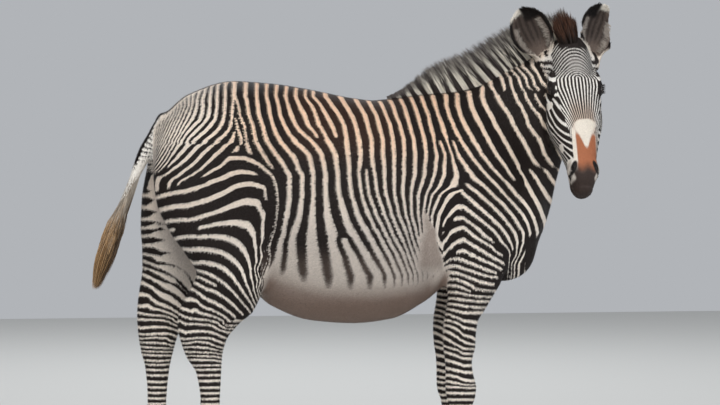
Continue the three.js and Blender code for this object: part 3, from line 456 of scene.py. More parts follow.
def ear_place(ear, p):
    """A point's place in an ear: up it (0 to 1), round its wall, and off the wall's middle."""
    d = p - ear["base"]
    rise = d @ ear["up"] / EAR_LENGTH
    half, bend, back, wall = EAR_READ(np.clip(rise, 0, 1))
    bend = np.radians(bend)
    radius = half * ear["half"] / np.sin(np.minimum(bend, math.pi / 2)) + wall / 2
    x = d @ ear["across"]
    y = d @ ear["front"] - (radius - wall / 2 - back)
    angle = np.arctan2(x, -y)
    off = np.hypot(x, y) - radius
    return rise, angle, off, radius, bend, wall


def ear_field(ear, p, thick):
    """An ear's wall, thickened by thick. The left ear's outer edge has a bite out of it."""
    rise, angle, off, radius, bend, wall = ear_place(ear, p)
    if ear["side"] == LEFT:
        notch = 0.5 * np.exp(-(((rise - 0.5) / 0.08) ** 2))
        bend = bend * (1 - notch * smooth(0, 0.4, angle))
    past_edge = np.maximum(0, (np.abs(angle) - bend) * radius)
    past_end = np.maximum(0, np.maximum(rise - 1, -0.12 - rise)) * EAR_LENGTH
    return np.sqrt(off**2 + past_edge**2 + past_end**2) - wall / 2 - thick


# ---------- the skin's field: the flesh less the coat, with lids, nostrils and mouth ----------

EYES = {side: at_head(190, -35, side * 86) for side in (RIGHT, LEFT)}
FACE_COAT, LEG_COAT, BODY_COAT = 1.2, 2.0, 3.0  # how far the skin lies under the solids
LIDS = {"long": 19.0, "above": 11.5, "below": 8.5, "thick": 3.0}
NOSTRIL = {"at": (514, -34, 45), "radii": (19, 9, 19)}


def coat_depth(p):
    head = smooth(-60, 60, in_head(p)[:, 0]) * smooth(40, -40, p[:, 1] + 60) * (p[:, 0] > 600)
    low = smooth(620, 480, p[:, 2])
    return BODY_COAT + (LEG_COAT - BODY_COAT) * low + (FACE_COAT - BODY_COAT) * head


def eye_axes(side):
    """Out of the eye, along its lids toward the nose, and up to the brow."""
    out = unit(0.84 * side * HEAD[2] + 0.5 * HEAD[1] + 0.12 * HEAD[0])
    along = HEAD[0] - 0.12 * HEAD[1]
    along = unit(along - out * (along @ out))
    up = np.cross(out, along) * side
    return np.array([out, along, up if up @ HEAD[1] > 0 else -up])


EYE_AXES = {side: eye_axes(side) for side in (RIGHT, LEFT)}


def lid_place(side, p):
    """Where a point is on an eye: out of it, along the lids, up, and above the lids' edge."""
    w, u, v = (EYE_AXES[side] @ (p - EYES[side]).T)
    arch = np.where(v > 0, LIDS["above"], LIDS["below"])
    edge = np.abs(v) - arch * (1 - (u / LIDS["long"]) ** 2)
    return w, u, v, edge


def add_eye(f, p, side):
    """Lids close over the eyeball and part in an almond, with a fold above."""
    near = np.flatnonzero(((p - EYES[side]) ** 2).sum(1) < 60**2)
    if not len(near):
        return f
    q = p[near]
    away = np.linalg.norm(q - EYES[side], axis=1)
    w, u, v, edge = lid_place(side, q)
    lids = away - EYE_RADIUS - LIDS["thick"] + 1.2 * smooth(0, 10, edge) * (w > 0)
    g = join(f[near], lids, 13)
    fold = np.exp(-(((edge - 9) / 2.6) ** 2)) * smooth(24, 12, np.abs(u)) * smooth(0, 8, v)
    under = np.exp(-(((edge - 11) / 3) ** 2)) * smooth(24, 12, np.abs(u)) * smooth(0, -8, v)
    g = g + (1.6 * fold + 0.9 * under) * (w > 0)
    opening = np.maximum(np.maximum(edge, EYE_RADIUS - 2 - away), 3 - w)
    f[near] = -join(-g, opening, 1.6)
    return f


def add_muzzle(f, p):
    """Nostrils, the line of the mouth, and the groove between the nostrils."""
    t, o, l = in_head(p).T
    near = np.flatnonzero((t > 440) & (np.abs(l) < 90) & (o > -190) & (o < 30))
    if not len(near):
        return f
    t, o, l = t[near], o[near], np.abs(l[near])
    g = f[near]
    mouth = -100 + 12 * smooth(560, 470, t)
    g = g + 4.5 * np.exp(-(((o - mouth) / 2.6) ** 2)) * smooth(474, 500, t)
    g = g + 2.2 * np.exp(-((l / 7) ** 2)) * smooth(520, 560, t) * smooth(-90, -60, o)
    a, b, c = NOSTRIL["at"]
    lean = math.radians(30)  # the slit runs down and outward
    dt, dl, do = t - a, l - c, o - b
    along = dt * math.cos(lean) + dl * math.sin(lean)
    across = -dt * math.sin(lean) + dl * math.cos(lean)
    share = np.sqrt(
        (along / NOSTRIL["radii"][0]) ** 2
        + (across / NOSTRIL["radii"][1]) ** 2
        + (do / NOSTRIL["radii"][2]) ** 2
    )
    hollow = (share - 1) * 9
    rim = 2.2 * np.exp(-(((share - 1.35) / 0.3) ** 2))
    f[near] = -join(-(g - rim), hollow, 3)
    return f


def body_and_ears(p, ear_grown):
    """The skin's field but for the eyes and the muzzle, with the ears' walls grown by so much."""
    f = flesh(p) + coat_depth(p)
    for ear in EARS.values():
        near = ((p - ear["base"] - ear["up"] * 95) ** 2).sum(1) < 190**2
        join_where(f, p, near, lambda q, ear=ear: ear_field(ear, q, ear_grown), 14)
    return f


def skin_field(p):
    f = body_and_ears(p, -0.3)
    for side in EYES:
        f = add_eye(f, p, side)
    return add_muzzle(f, p)


def rough_field(p):
    """The skin with thick ears and no openings, for finding how its surface hangs together."""
    return body_and_ears(p, 5)


# ---------- from a field to a mesh that is finer where it matters ----------

CELL = 6.6
LOW, HIGH = np.array([-960.0, -470, -24]), np.array([930.0, 420, 1816])


def is_coarse(p):
    """Trunk and neck take cells twice as wide as legs, head, ears and tail."""
    trunk = (p[:, 2] > 800) & (p[:, 0] < 640) & (p[:, 0] > -690)
    return trunk & ~((p[:, 0] > 600) & (p[:, 1] < -60))


def surface(field):
    """Surface nets over blocks near the surface, with cells joined in twos where coarse."""
    block = 4
    blocks = np.ceil((HIGH - LOW) / (block * CELL)).astype(int)
    n = blocks * block + 1
    grid = np.indices(blocks).reshape(3, -1).T
    centres = LOW + (grid + 0.5) * block * CELL
    rough = field(centres)
    whole = np.full(n, 100.0, np.float32)
    near = np.abs(rough) < 1.45 * block * CELL
    inner = np.indices([block + 1] * 3).reshape(3, -1).T
    for g in grid[(rough < 0) & ~near]:
        x, y, z = g * block
        whole[x : x + block + 1, y : y + block + 1, z : z + block + 1] = -100
    ids = (grid[near][:, None, :] * block + inner[None]).reshape(-1, 3)
    flat = np.unique(np.ravel_multi_index(ids.T, n))
    nodes = np.stack(np.unravel_index(flat, n), 1)
    whole.reshape(-1)[flat] = field(LOW + nodes * CELL)
    keys, points, flips = [], [], []
    for axis in range(3):
        a, b = [i for i in range(3) if i != axis]
        cut = [slice(None)] * 3
        cut[axis] = slice(None, -1)
        here = whole[tuple(cut)]
        cut[axis] = slice(1, None)
        there = whole[tuple(cut)]
        at = np.argwhere((here < 0) != (there < 0))
        v0, v1 = here[tuple(at.T)], there[tuple(at.T)]
        share = (v0 / (v0 - v1))[:, None]
        points.append(LOW + CELL * (at + share * np.eye(3)[axis]))
        around = []
        for da, db in ((1, 1), (0, 1), (0, 0), (1, 0)):
            cell = at.copy()
            cell[:, a] -= da
            cell[:, b] -= db
            pair = cell // 2 * 2
            wide = is_coarse(LOW + (pair + 1) * CELL)
            cell = np.where(wide[:, None], pair, cell)
            around.append(np.ravel_multi_index(cell.T, n + 2))
        keys.append(np.stack(around, 1))
        flips.append((v0 < 0) ^ (axis == 1))
    keys, points, flips = np.concatenate(keys), np.concatenate(points), np.concatenate(flips)
    found, corner = np.unique(keys, return_inverse=True)
    corner = corner.reshape(keys.shape)
    count = np.bincount(corner.ravel(), minlength=len(found))
    corners = corner.ravel()
    sums = [np.bincount(corners, np.repeat(points[:, i], 4), len(found)) for i in range(3)]
    places = np.stack(sums, 1) / count[:, None]
    corner = np.where(flips[:, None], corner, corner[:, ::-1])
    size = np.linalg.norm(places[corner[:, [0, 1]]] - places[corner[:, [2, 3]]], axis=2)
    turn = size[:, 1] < size[:, 0]
    corner = np.where(turn[:, None], np.roll(corner, -1, 1), corner)
    faces = np.concatenate([corner[:, [0, 1, 2]], corner[:, [0, 2, 3]]])
    return places, whole_faces(faces)


def whole_faces(faces):
    """Faces with three different corners, each only once."""
    a, b, c = faces.T
    faces = faces[(a != b) & (b != c) & (c != a)]
    once = np.unique(np.sort(faces, 1), axis=0, return_index=True)[1]
    return faces[np.sort(once)]


def edges_of(faces):
    """Every edge once, and each face's three edges."""
    pairs = np.sort(faces[:, [[0, 1], [1, 2], [2, 0]]].reshape(-1, 2), 1)
    edges, which = np.unique(pairs, axis=0, return_inverse=True)
    return edges, which.reshape(-1, 3)


def refine(places, faces, chosen):
    """Halves the chosen faces' edges, and fits their neighbours to them."""
    edges, of_face = edges_of(faces)
    split = np.zeros(len(edges), bool)
    split[of_face[chosen]] = True
    number = np.cumsum(split) - 1 + len(places)
    middles = places[edges[split]].mean(1)
    halves = split[of_face]
    count = halves.sum(1)
    made = [faces[count == 0]]
    # Turn each face so that a lone split edge comes first, or a lone whole edge comes last.
    for k, lone in ((1, halves), (2, ~halves)):
        rows = np.flatnonzero(count == k)
        turn = lone[rows].argmax(1) if k == 1 else (lone[rows].argmax(1) + 1) % 3
        order = (turn[:, None] + np.arange(3)) % 3
        v = np.take_along_axis(faces[rows], order, 1)
        m = number[np.take_along_axis(of_face[rows], order, 1)]
        if k == 1:
            made += [np.stack([v[:, 0], m[:, 0], v[:, 2]], 1), np.stack([m[:, 0], v[:, 1], v[:, 2]], 1)]
        else:
            made += [
                np.stack([m[:, 0], v[:, 1], m[:, 1]], 1),
                np.stack([v[:, 0], m[:, 0], m[:, 1]], 1),
                np.stack([v[:, 0], m[:, 1], v[:, 2]], 1),
            ]
    rows = count == 3
    v, m = faces[rows], number[of_face[rows]]
    for i, j, k in ((0, 0, 2), (1, 1, 0), (2, 2, 1)):
        made.append(np.stack([v[:, i], m[:, j], m[:, k]], 1))
    made.append(m)
    return np.concatenate([places, middles]), np.concatenate(made)


def gradient(field, p, step=0.4):
    """The field and its slope at p, from four points around it."""
    corners = np.array([[1, 1, 1], [1, -1, -1], [-1, 1, -1], [-1, -1, 1]], float)
    values = [field(p + step * c) for c in corners]
    slope = sum(v[:, None] * c for v, c in zip(values, corners)) / (4 * step)
    return sum(values) / 4, slope


def settle(field, places, faces, rounds, ease=0.5):
    """Evens out the mesh along the surface and draws it onto the field's zero."""
    edges = edges_of(faces)[0]
    count = np.bincount(edges.ravel(), minlength=len(places))[:, None]
    for _ in range(rounds):
        near = np.zeros_like(places)
        for i in range(3):
            near[:, i] = np.bincount(edges[:, 0], places[edges[:, 1], i], len(places))
            near[:, i] += np.bincount(edges[:, 1], places[edges[:, 0], i], len(places))
        value, slope = gradient(field, places)
        size = np.maximum((slope**2).sum(1, keepdims=True), 0.05)
        move = near / np.maximum(count, 1) - places
        along = move - slope * (move * slope).sum(1, keepdims=True) / size
        places = places + ease * along - slope * np.clip(value[:, None] / size, -6, 6)
    return places


def build_skin():
    """The skin's vertices and faces in the body's frame."""
    places, faces = surface(rough_field)
    places = settle(rough_field, places, faces, 3)
    middle = in_head(places[faces].mean(1))
    in_face = (middle[:, 0] > -20) & (np.abs(middle[:, 2]) < 150) & (middle[:, 1] > -200)
    places, faces = refine(places, faces, in_face)
    places = settle(skin_field, places, faces, 3)
    t, o, _ = in_head(places[faces].mean(1)).T
    eyes = sum(np.linalg.norm(places[faces].mean(1) - EYES[s], axis=1) < 40 for s in EYES) > 0
    muzzle = (t > 486) & (o > -125)
    places, faces = refine(places, faces, eyes | muzzle)
    places = settle(skin_field, places, faces, 4, 0.4)
    keep = np.ones(len(faces), bool)
    for leg in LEGS.values():
        top = hoof_top(places, leg)
        keep &= ~(places[faces][:, :, 2] < top[faces] - 10).all(1)
    faces = faces[keep]
    used, faces = np.unique(faces, return_inverse=True)
    return places[used], faces.reshape(-1, 3)


# ---------- hooves ----------

HOOF = {"length": 118, "width": 100, "toe": 74, "heel": 34, "slope": math.radians(54), "top": 0.83}


def wall_top(ahead):
    """The height of a hoof's wall, from its heel at -1 to its toe at 1."""
    return HOOF["heel"] + (HOOF["toe"] - HOOF["heel"]) * (1 + ahead) / 2


def wall_top_x(ahead):
    return HOOF["length"] / 2 * HOOF["top"] * ahead - wall_top(ahead) * 0.86 / math.tan(HOOF["slope"])


def hoof_top(p, leg):
    """The height of the coronet's plane at a place, or far below it away from that leg."""
    x = p[:, 0] - leg["fetlock"] - HOOF_AHEAD
    y = p[:, 1] - leg["side"] * leg["rows"][0][5]
    slope = (wall_top(1) - wall_top(0)) / (wall_top_x(1) - wall_top_x(0))
    plane = wall_top(0) + slope * (x - wall_top_x(0))
    return np.where((np.abs(x) < 130) & (np.abs(y) < 90), plane, -999)


# ---------- meshes, materials and the stage ----------


def mesh_object(name, places, faces, material, smooth_faces=True):
    """A mesh object in the row's frame from places in the body's frame."""
    mesh = bpy.data.meshes.new(name)
    mesh.vertices.add(len(places))
    mesh.vertices.foreach_set("co", to_row(places).astype(np.float32).ravel())
    mesh.loops.add(faces.size)
    mesh.loops.foreach_set("vertex_index", faces.astype(np.int32).ravel())
    mesh.polygons.add(len(faces))
    mesh.polygons.foreach_set("loop_start", np.arange(0, faces.size, faces.shape[1], dtype=np.int32))
    mesh.polygons.foreach_set("use_smooth", np.full(len(faces), smooth_faces))
    mesh.update(calc_edges=True)
    piece = bpy.data.objects.new(name, mesh)
    bpy.context.scene.collection.objects.link(piece)
    piece.data.materials.append(material)
    return piece


def add_values(piece, name, values):
    """One colour or number per vertex, as an attribute."""
    kind = "FLOAT" if values.ndim == 1 else "FLOAT_VECTOR"
    attribute = piece.data.attributes.new(name, kind, "POINT")
    key = "value" if values.ndim == 1 else "vector"
    attribute.data.foreach_set(key, np.ascontiguousarray(values, np.float32).ravel())


def new_material(name, rough):
    material = bpy.data.materials.new(name)
    material.use_nodes = True
    tree = material.node_tree
    shader = tree.nodes["Principled BSDF"]
    shader.inputs["Roughness"].default_value = rough
    return material, tree, shader


def node(tree, kind, inputs=(), **settings):
    """A node with its settings; inputs are given by name or number, as values or links."""
    made = tree.nodes.new(kind)
    for key, value in settings.items():
        setattr(made, key, value)
    for key, value in dict(inputs).items():
        if isinstance(value, bpy.types.NodeSocket):
            tree.links.new(value, made.inputs[key])
        else:
            made.inputs[key].default_value = value
    return made


def plain_material(name, colour, rough):
    material, _, shader = new_material(name, rough)
    shader.inputs["Base Color"].default_value = (*colour, 1)
    return material


def add_camera():
    camera = bpy.data.objects.new("camera", bpy.data.cameras.new("camera"))
    bpy.context.scene.collection.objects.link(camera)
    far, sensor = 14.0, 36
    target = Vector(to_row(VIEW_MIDDLE))
    away = Vector((
        -math.sin(VIEW_AHEAD) * math.cos(VIEW_ABOVE),
        -math.cos(VIEW_AHEAD) * math.cos(VIEW_ABOVE),
        math.sin(VIEW_ABOVE),
    ))
    camera.location = target + away * far
    camera.rotation_euler = away.to_track_quat("Z", "Y").to_euler()
    camera.data.sensor_width = sensor
    camera.data.lens = sensor * far / VIEW_WIDTH
    camera.data.clip_end = 60
    bpy.context.scene.camera = camera


def add_light(name, place, size, power, colour):
    lamp = bpy.data.lights.new(name, "AREA")
    lamp.size = size
    lamp.energy = power
    lamp.color = colour
    light = bpy.data.objects.new(name, lamp)
    light.location = place
    light.rotation_euler = (Vector(place) - Vector((0, 0, 1.0))).to_track_quat("Z", "Y").to_euler()
    bpy.context.scene.collection.objects.link(light)


def add_stage():
    """Soft open daylight from a high sun behind thin cloud, a pale floor and a pale sky."""
    floor_colour = plain_material("floor_grey", (0.62, 0.62, 0.6), 0.9)
    corners = np.array([[-9, -9, 0], [9, -9, 0], [9, 9, 0], [-9, 9, 0]], float) * 1000
    floor = mesh_object("floor", corners + ROW_ORIGIN, np.array([[0, 1, 2, 3]]), floor_colour)
    add_light("sky_key", (-1.5, -6.5, 6.5), 4.0, 420, (1.0, 0.97, 0.92))
    add_light("sky_fill", (6.0, -3.0, 3.5), 4.0, 110, (0.93, 0.96, 1.0))
    add_light("sky_back", (0.5, 6.0, 5.0), 4.0, 170, (0.95, 0.97, 1.0))
    world = bpy.data.worlds.new("sky")
    world.use_nodes = True
    tree = world.node_tree
    tree.nodes["Background"].inputs["Color"].default_value = (0.55, 0.57, 0.6, 1)
    tree.nodes["Background"].inputs["Strength"].default_value = 0.8
    bpy.context.scene.world = world
    bpy.context.scene.view_settings.view_transform = "Standard"


# ---------- markings ----------
# Each guide is a height, an angle or a place, the number of its first pale stripe, and where the
# middle of each pale stripe crosses it. Numbers are in millimetres along the flank, up the leg
# or out from a centre. Sheets of guides share whole numbers where they meet, and where one sheet
# has a stripe more than the next, that stripe ends in the dark between its neighbours.

BACK = [
    (1460, -4, [-485, -460, -425, -385, -345, -310, -275, -240, -205, -170, -145, -100, -45, 5]
     + [45, 90, 130, 170, 210, 250, 290, 340, 380, 425, 470, 525, 595, 630, 665]),
    (1425, -4, [-455, -427, -410, -375, -340, -300, -265, -230, -190, -145, -115, -75, -25, 25]
     + [65, 105, 145, 185, 225, 260, 300, 340, 380, 430, 480, 545, 615, 650, 685]),
    (1390, -4, [-436, -418, -405, -370, -335, -295, -260, -220, -170, -130, -95, -50, -5, 45]
     + [85, 120, 155, 195, 235, 275, 310, 350, 390, 445, 500, 570, 630, 680, 715]),
    (1355, -4, [-436, -412, -387, -355, -320, -285, -245, -205, -160, -120, -75, -30, 10, 55]
     + [95, 135, 170, 205, 245, 280, 325, 365, 405, 465, 515, 585, 640, 695, 750]),
    (1300, -4, [-430, -393, -380, -345, -305, -260, -210, -150, -120, -90, -55, -20, 25, 70]
     + [110, 145, 185, 220, 260, 295, 340, 390, 435, 490, 545, 615, 680, 735, 795]),
]
RIBS = [
    (1300, -4, [-430, -393, -380, -345, -305, -260, -210, -150, -90, -20, 25, 70, 110, 145]
     + [185, 220, 260, 295, 315, 340, 360, 390, 435, 490, 545, 615, 680, 735, 795]),
    (1245, -4, [-450, -400, -360, -315, -270, -215, -155, -110, -60, -15, 30, 70, 110, 150]
     + [185, 225, 265, 305, 335, 360, 380, 425, 465, 520, 575, 645, 700, 760, 815]),
    (1200, -4, [-440, -390, -340, -290, -240, -195, -145, -100, -55, -10, 25, 75, 115, 150]
     + [185, 225, 260, 300, 330, 370, 410, 460, 500, 555, 600, 680, 735, 795, 850]),
]
FLANK = [
    (1200, -4, [-440, -390, -340, -290, -240, -195, -145, -100, -55, -10, 25, 50, 75, 115]
     + [150, 185, 225, 260, 300, 330, 370, 410, 460, 500, 555, 600, 635, 695, 750]),
    (1175, -4, [-445, -390, -335, -285, -225, -180, -140, -95, -50, -10, 25, 50, 80, 115]
     + [150, 185, 225, 260, 295, 330, 375, 430, 480, 525, 570, 615, 655, 715, 770]),
    (1130, -4, [-435, -380, -330, -280, -225, -180, -140, -95, -50, -5, 30, 55, 85, 115]
     + [150, 180, 215, 245, 280, 310, 355, 475, 525, 565, 605, 640, 685, 750]),
    (1100, -4, [-425, -375, -325, -275, -225, -180, -140, -95, -45, 0, 35, 60, 90, 120]
     + [150, 180, 210, 235, 265, 285, 315, 345, 400, 475, 530]),
    (1030, -4, [-430, -380, -330, -280, -235, -190, -145, -90, -25, 20, 60, 85, 115, 140]
     + [165, 190, 210, 235, 255, 270, 285, 310, 355, 405, 460]),
    (960, -4, [-440, -390, -340, -295, -245, -215, -145, -70, 5, 60, 95, 120, 145, 170]
     + [195, 210, 230, 243, 257, 270, 283, 298, 325, 390, 435]),
]
BELLY = [
    (940, -4, [-440, -395, -345, -300, -255, -220, -145, -70, -30, 15, 70, 105, 130, 155]
     + [180, 200, 215, 235, 250, 265, 285, 305, 335, 370, 405]),
    (885, -4, [-445, -400, -350, -310, -265, -220, -140, -55, 0, 50, 100, 135, 160, 185]
     + [200, 220, 235, 260, 275, 295, 310, 335, 355, 385, 415]),
    (815, -4, [-460, -420, -375, -335, -290, -220, -130, -40, 30, 95, 135, 165, 190, 210]
     + [225, 245, 260, 280, 300, 315, 335, 350, 375, 400, 425]),
]
CREST = [
    (1570, 17, [275, 325, 370, 420, 465, 510, 540, 570, 595, 620, 655]),
    (1530, 17, [300, 350, 395, 455, 500, 545, 575, 605, 630, 655, 680]),
    (1495, 17, [315, 365, 420, 475, 505, 555, 580, 615, 640, 665, 705]),
    (1480, 17, [330, 370, 420, 475, 515, 555, 585, 625, 655, 680, 715]),
]
CHEST = [
    (1175, 14, [305, 345, 385, 430, 480, 525, 615, 655, 715]),
    (1130, 14, [330, 380, 420, 475, 525, 565, 640, 685, 750]),
    (1100, 14, [355, 405, 460, 505, 550, 590, 655, 705, 770]),
    (1065, 14, [390, 445, 500, 545, 585, 625, 675, 735, 795]),
    (1030, 14, [435, 485, 535, 575, 615, 650, 690, 750, 810]),
    (995, 14, [480, 525, 565, 600, 635, 665, 705, 750, 795]),
    (960, 14, [520, 555, 590, 620, 645, 675, 705, 745, 785]),
    (925, 14, [543, 574, 599, 620, 641, 665, 690, 730, 770]),
    (885, 14, [571, 584, 596, 607, 625, 645, 670, 700, 730]),
    (850, 14, [567, 573, 578, 590, 605, 630, 655, 680, 705]),
]
# Forearm: at places along the flank, how high each band below the chevron is.
FOREARM = [
    (300, 0, [1030, 975, 950, 905, 860, 845, 835, 820, 805, 785, 766, 744, 724, 708]),
    (330, 0, [1068, 998, 970, 935, 883, 870, 856, 838, 815, 790, 768, 745, 724, 708]),
    (350, 0, [1095, 1028, 1008, 965, 910, 888, 872, 845, 820, 797, 773, 749, 726, 706]),
    (375, 0, [1113, 1053, 1018, 977, 930, 895, 874, 845, 820, 797, 773, 748, 725, 704]),
    (400, 0, [1105, 1055, 1016, 985, 940, 901, 865, 837, 811, 787, 763, 744, 722, 699]),
    (450, 0, [1062, 1010, 980, 944, 910, 875, 845, 819, 791, 759, 748, 735, 717, 694]),
    (475, 0, [1040, 1003, 952, 930, 894, 863, 834, 811, 784, 755, 745, 734, 716, 690]),
    (500, 0, [1018, 972, 937, 916, 878, 852, 824, 804, 778, 752, 743, 732, 714, 690]),
    (550, 0, [961, 916, 898, 880, 850, 826, 815, 803, 775, 750, 741, 730, 712, 690]),
]
LOW_FORE = [380, 355] + list(range(333, 40, -21))
FORE_BANDS = [
    (330, 12, [724, 708, 688, 670, 648, 630, 610, 587, 553, 536, 504, 472, 442, 421, 404] + LOW_FORE),
    (350, 12, [726, 705, 687, 667, 646, 628, 604, 575, 549, 530, 501, 470, 446, 421, 402] + LOW_FORE),
    (380, 12, [724, 703, 680, 655, 637, 612, 585, 556, 540, 520, 492, 464, 440, 416, 402] + LOW_FORE),
    (400, 12, [722, 699, 674, 644, 621, 593, 571, 545, 527, 510, 483, 458, 428, 410, 401] + LOW_FORE),
    (450, 12, [717, 694, 677, 636, 610, 570, 555, 540, 522, 505, 480, 455, 421, 409, 400] + LOW_FORE),
]
LOW_HIND = [495, 480, 460, 440, 415, 395] + list(range(375, 40, -20))
HIND_BANDS = [
    (-620, 10, [815, 790, 735, 700, 678, 655, 622, 592, 575, 561, 545, 530, 517] + LOW_HIND),
    (-600, 10, [808, 786, 733, 695, 668, 645, 612, 589, 575, 561, 545, 530, 517] + LOW_HIND),
    (-560, 10, [792, 762, 720, 685, 661, 644, 617, 593, 581, 562, 543, 530, 517] + LOW_HIND),
    (-520, 10, [770, 737, 701, 679, 659, 642, 616, 593, 577, 558, 541, 528, 515] + LOW_HIND),
    (-500, 10, [764, 724, 693, 670, 655, 637, 611, 589, 566, 552, 540, 527, 514] + LOW_HIND),
    (-450, 10, [731, 691, 655, 638, 626, 614, 590, 570, 552, 541, 530, 517, 505] + LOW_HIND),
]
CROUP = [
    (1475, -7, [-552, -530, -508, -485, -457, -428, -392]),
    (1450, -9, [-590, -574, -556, -538, -510, -484, -455, -425, -382]),
    (1425, -10, [-602, -588, -575, -558, -535, -510, -485, -456, -429, -400]),
    (1400, -11, [-622, -611, -598, -582, -565, -536, -512, -487, -457, -430, -400]),
    (1375, -13, [-655, -644, -634, -622, -608, -594, -576, -544, -522, -492, -461, -431, -400]),
    (1350, -15, [-685, -677, -667, -656, -646, -635, -622, -608, -594, -572, -544, -512, -472]
     + [-434, -405]),
    (1325, -14, [-684, -677, -667, -658, -646, -632, -620, -610, -596, -569, -538, -492, -449]
     + [-422]),
    (1300, -13, [-688, -679, -671, -658, -646, -636, -625, -614, -590, -569, -526, -482, -432]),
]
CROUP_LOW = [
    (1300, -11, [-688, -679, -671, -658, -646, -636, -614, -569, -526, -482, -432]),
    (1275, -10, [-692, -684, -672, -659, -647, -631, -598, -559, -509, -458]),
    (1250, -9, [-697, -688, -673, -660, -647, -622, -581, -538, -485, -425]),
    (1225, -7, [-690, -677, -662, -646, -610, -562, -512, -461]),
    (1200, -6, [-697, -684, -671, -646, -596, -540, -499]),
    (1175, -3, [-690, -626, -578, -535]),
    (1150, -3, [-700, -655, -622, -590]),
]
CROUP_EDGE = ([1275, 1300, 1325, 1350, 1375, 1400, 1437, 1500],
              [-400, -411, -411, -424, -424, -416, -420, -430])
# Thigh: at angles forward of straight up, how far each arc is from the hock's side of the thigh.
THIGH_CENTRE = (-550, 620)
THIGH = [
    (-15, 13, [78, 118, 165, 195, 220, 245, 270, 305, 345, 378, 411, 458, 505, 535, 560]),
    (-5, 13, [74, 110, 145, 174, 201, 222, 244, 293, 343, 373, 397, 452, 507, 540, 565]),
    (0, 13, [69, 99, 136, 166, 193, 216, 245, 294, 339, 369, 405, 461, 518, 548, 572]),
    (5, 13, [66, 93, 128, 160, 187, 211, 246, 293, 341, 377, 418, 475, 538, 577, 605]),
    (10, 13, [65, 88, 122, 155, 182, 207, 246, 293, 344, 390, 437, 499, 557, 627, 660]),
    (15, 13, [64, 87, 118, 155, 178, 202, 245, 292, 349, 402, 465, 537, 587, 641, 675]),
    (20, 13, [64, 86, 116, 155, 176, 198, 244, 290, 349, 414, 495, 561, 597, 634, 668]),
    (25, 13, [66, 87, 117, 154, 174, 194, 238, 285, 344, 421, 509, 566, 592, 616, 650]),
    (30, 13, [68, 88, 118, 153, 172, 191, 233, 277, 331, 400, 477, 515, 540, 565, 601]),
    (35, 13, [69, 89, 118, 153, 170, 188, 223, 267, 312, 360, 402, 440, 463, 486, 518]),
    (40, 13, [71, 91, 119, 154, 170, 186, 218, 254, 289, 324, 352, 365, 377, 388, 420]),
    (50, 13, [76, 96, 122, 156, 170, 183, 211, 233, 254, 273, 287, 293, 299, 305, 330]),
    (60, 13, [84, 103, 129, 159, 172, 185, 210, 223, 236, 246, 254, 258, 262, 266, 285]),
    (70, 13, [93, 111, 138, 168, 180, 192, 209, 220, 232, 240, 246, 250, 254, 258, 270]),
]
# Where a stripe stops short: its sheet, its number, along what, and from where to where it fades.
STRIPE_ENDS = [
    ("thigh", 1, "angle", 19, 23),
    ("thigh", 9, "angle", 20, 24),
    ("thigh", 2, "angle", 26, 30),
    ("thigh", 0, "angle", 3, 0),
    ("croup_low", 0, "s", -530, -545),
    ("croup_low", -1, "s", -620, -632),
    ("croup_low", -4, "z", 1212, 1202),
    ("back", -3, "z", 1380, 1392),
    ("ribs", -3, "z", 1290, 1278),
    ("back", -4, "z", 1300, 1301),
    ("ribs", -4, "z", 1290, 1278),
    ("forearm", 13, "s", 507, 516),
    ("forearm", 13, "s", 366, 356),
    ("forearm", 10, "s", 374, 364),
    ("forearm", 12, "s", 540, 550),
    ("forearm", 11, "s", 545, 555),
    ("forearm", 10, "s", 540, 548),
    ("forearm", 9, "s", 517, 525),
    ("forearm", 8, "s", 524, 534),
    ("forearm", 7, "s", 510, 520),
    ("forearm", 5, "s", 422, 434),
    ("chest", 15, "z", 905, 893),
]
THIGH_GAP = 4  # this arc has a gap at the back of the thigh
FACE_LOOPS = 162  # how far down the face the forehead's loops have their centre
LEVEL_GUIDES = {
    "back": BACK,
    "ribs": RIBS,
    "flank": FLANK,
    "belly": BELLY,
    "crest": CREST,
    "chest": CHEST,
    "croup": CROUP,
    "croup_low": CROUP_LOW,
}
TRUNK_SHEETS = ["back", "ribs", "flank", "belly"]
HEAD_SHEETS = ["face", "cheek", "dock"]
SHEETS = TRUNK_SHEETS + ["crest", "chest", "forearm", "fore", "croup", "thigh", "croup_low", "hind"]
SHEETS += HEAD_SHEETS
TRUNK_AND_RUMP = TRUNK_SHEETS + ["croup", "croup_low"]


def guide_label(value, start, stripes, step):
    """The stripe number at each value along one guide, carried on past its ends."""
    stripes = np.array(stripes, float)
    if stripes[0] > stripes[-1]:
        value, stripes = -value, -stripes
    labels = start + step * np.arange(len(stripes))
    label = np.interp(value, stripes, labels)
    first, last = stripes[1] - stripes[0], stripes[-1] - stripes[-2]
    label = label + step * np.minimum(0, (value - stripes[0]) / first)
    return label + step * np.maximum(0, (value - stripes[-1]) / last)


def sheet_label(at, value, guides, step=1):
    """The stripe number between guides, for places at (which guide) and value (along it)."""
    guides = sorted(guides, key=lambda guide: guide[0])
    places = np.array([guide[0] for guide in guides], float)
    labels = np.stack([guide_label(value, first, stripes, step) for _, first, stripes in guides])
    i = np.clip(np.searchsorted(places, at, side="right") - 1, 0, len(places) - 2)
    f = np.clip((at - places[i]) / (places[i + 1] - places[i]), 0, 1)
    rows = np.arange(len(value))
    return labels[i, rows] * (1 - f) + labels[i + 1, rows] * f


def nose_middle(t):
    """How far towards the left the face's markings have their middle."""
    return np.interp(t, [150, 330], [4, 12])


HIND_READ = {side: reader(rows) for side, rows in ((RIGHT, NEAR_HIND_LEG), (LEFT, FAR_HIND_LEG))}


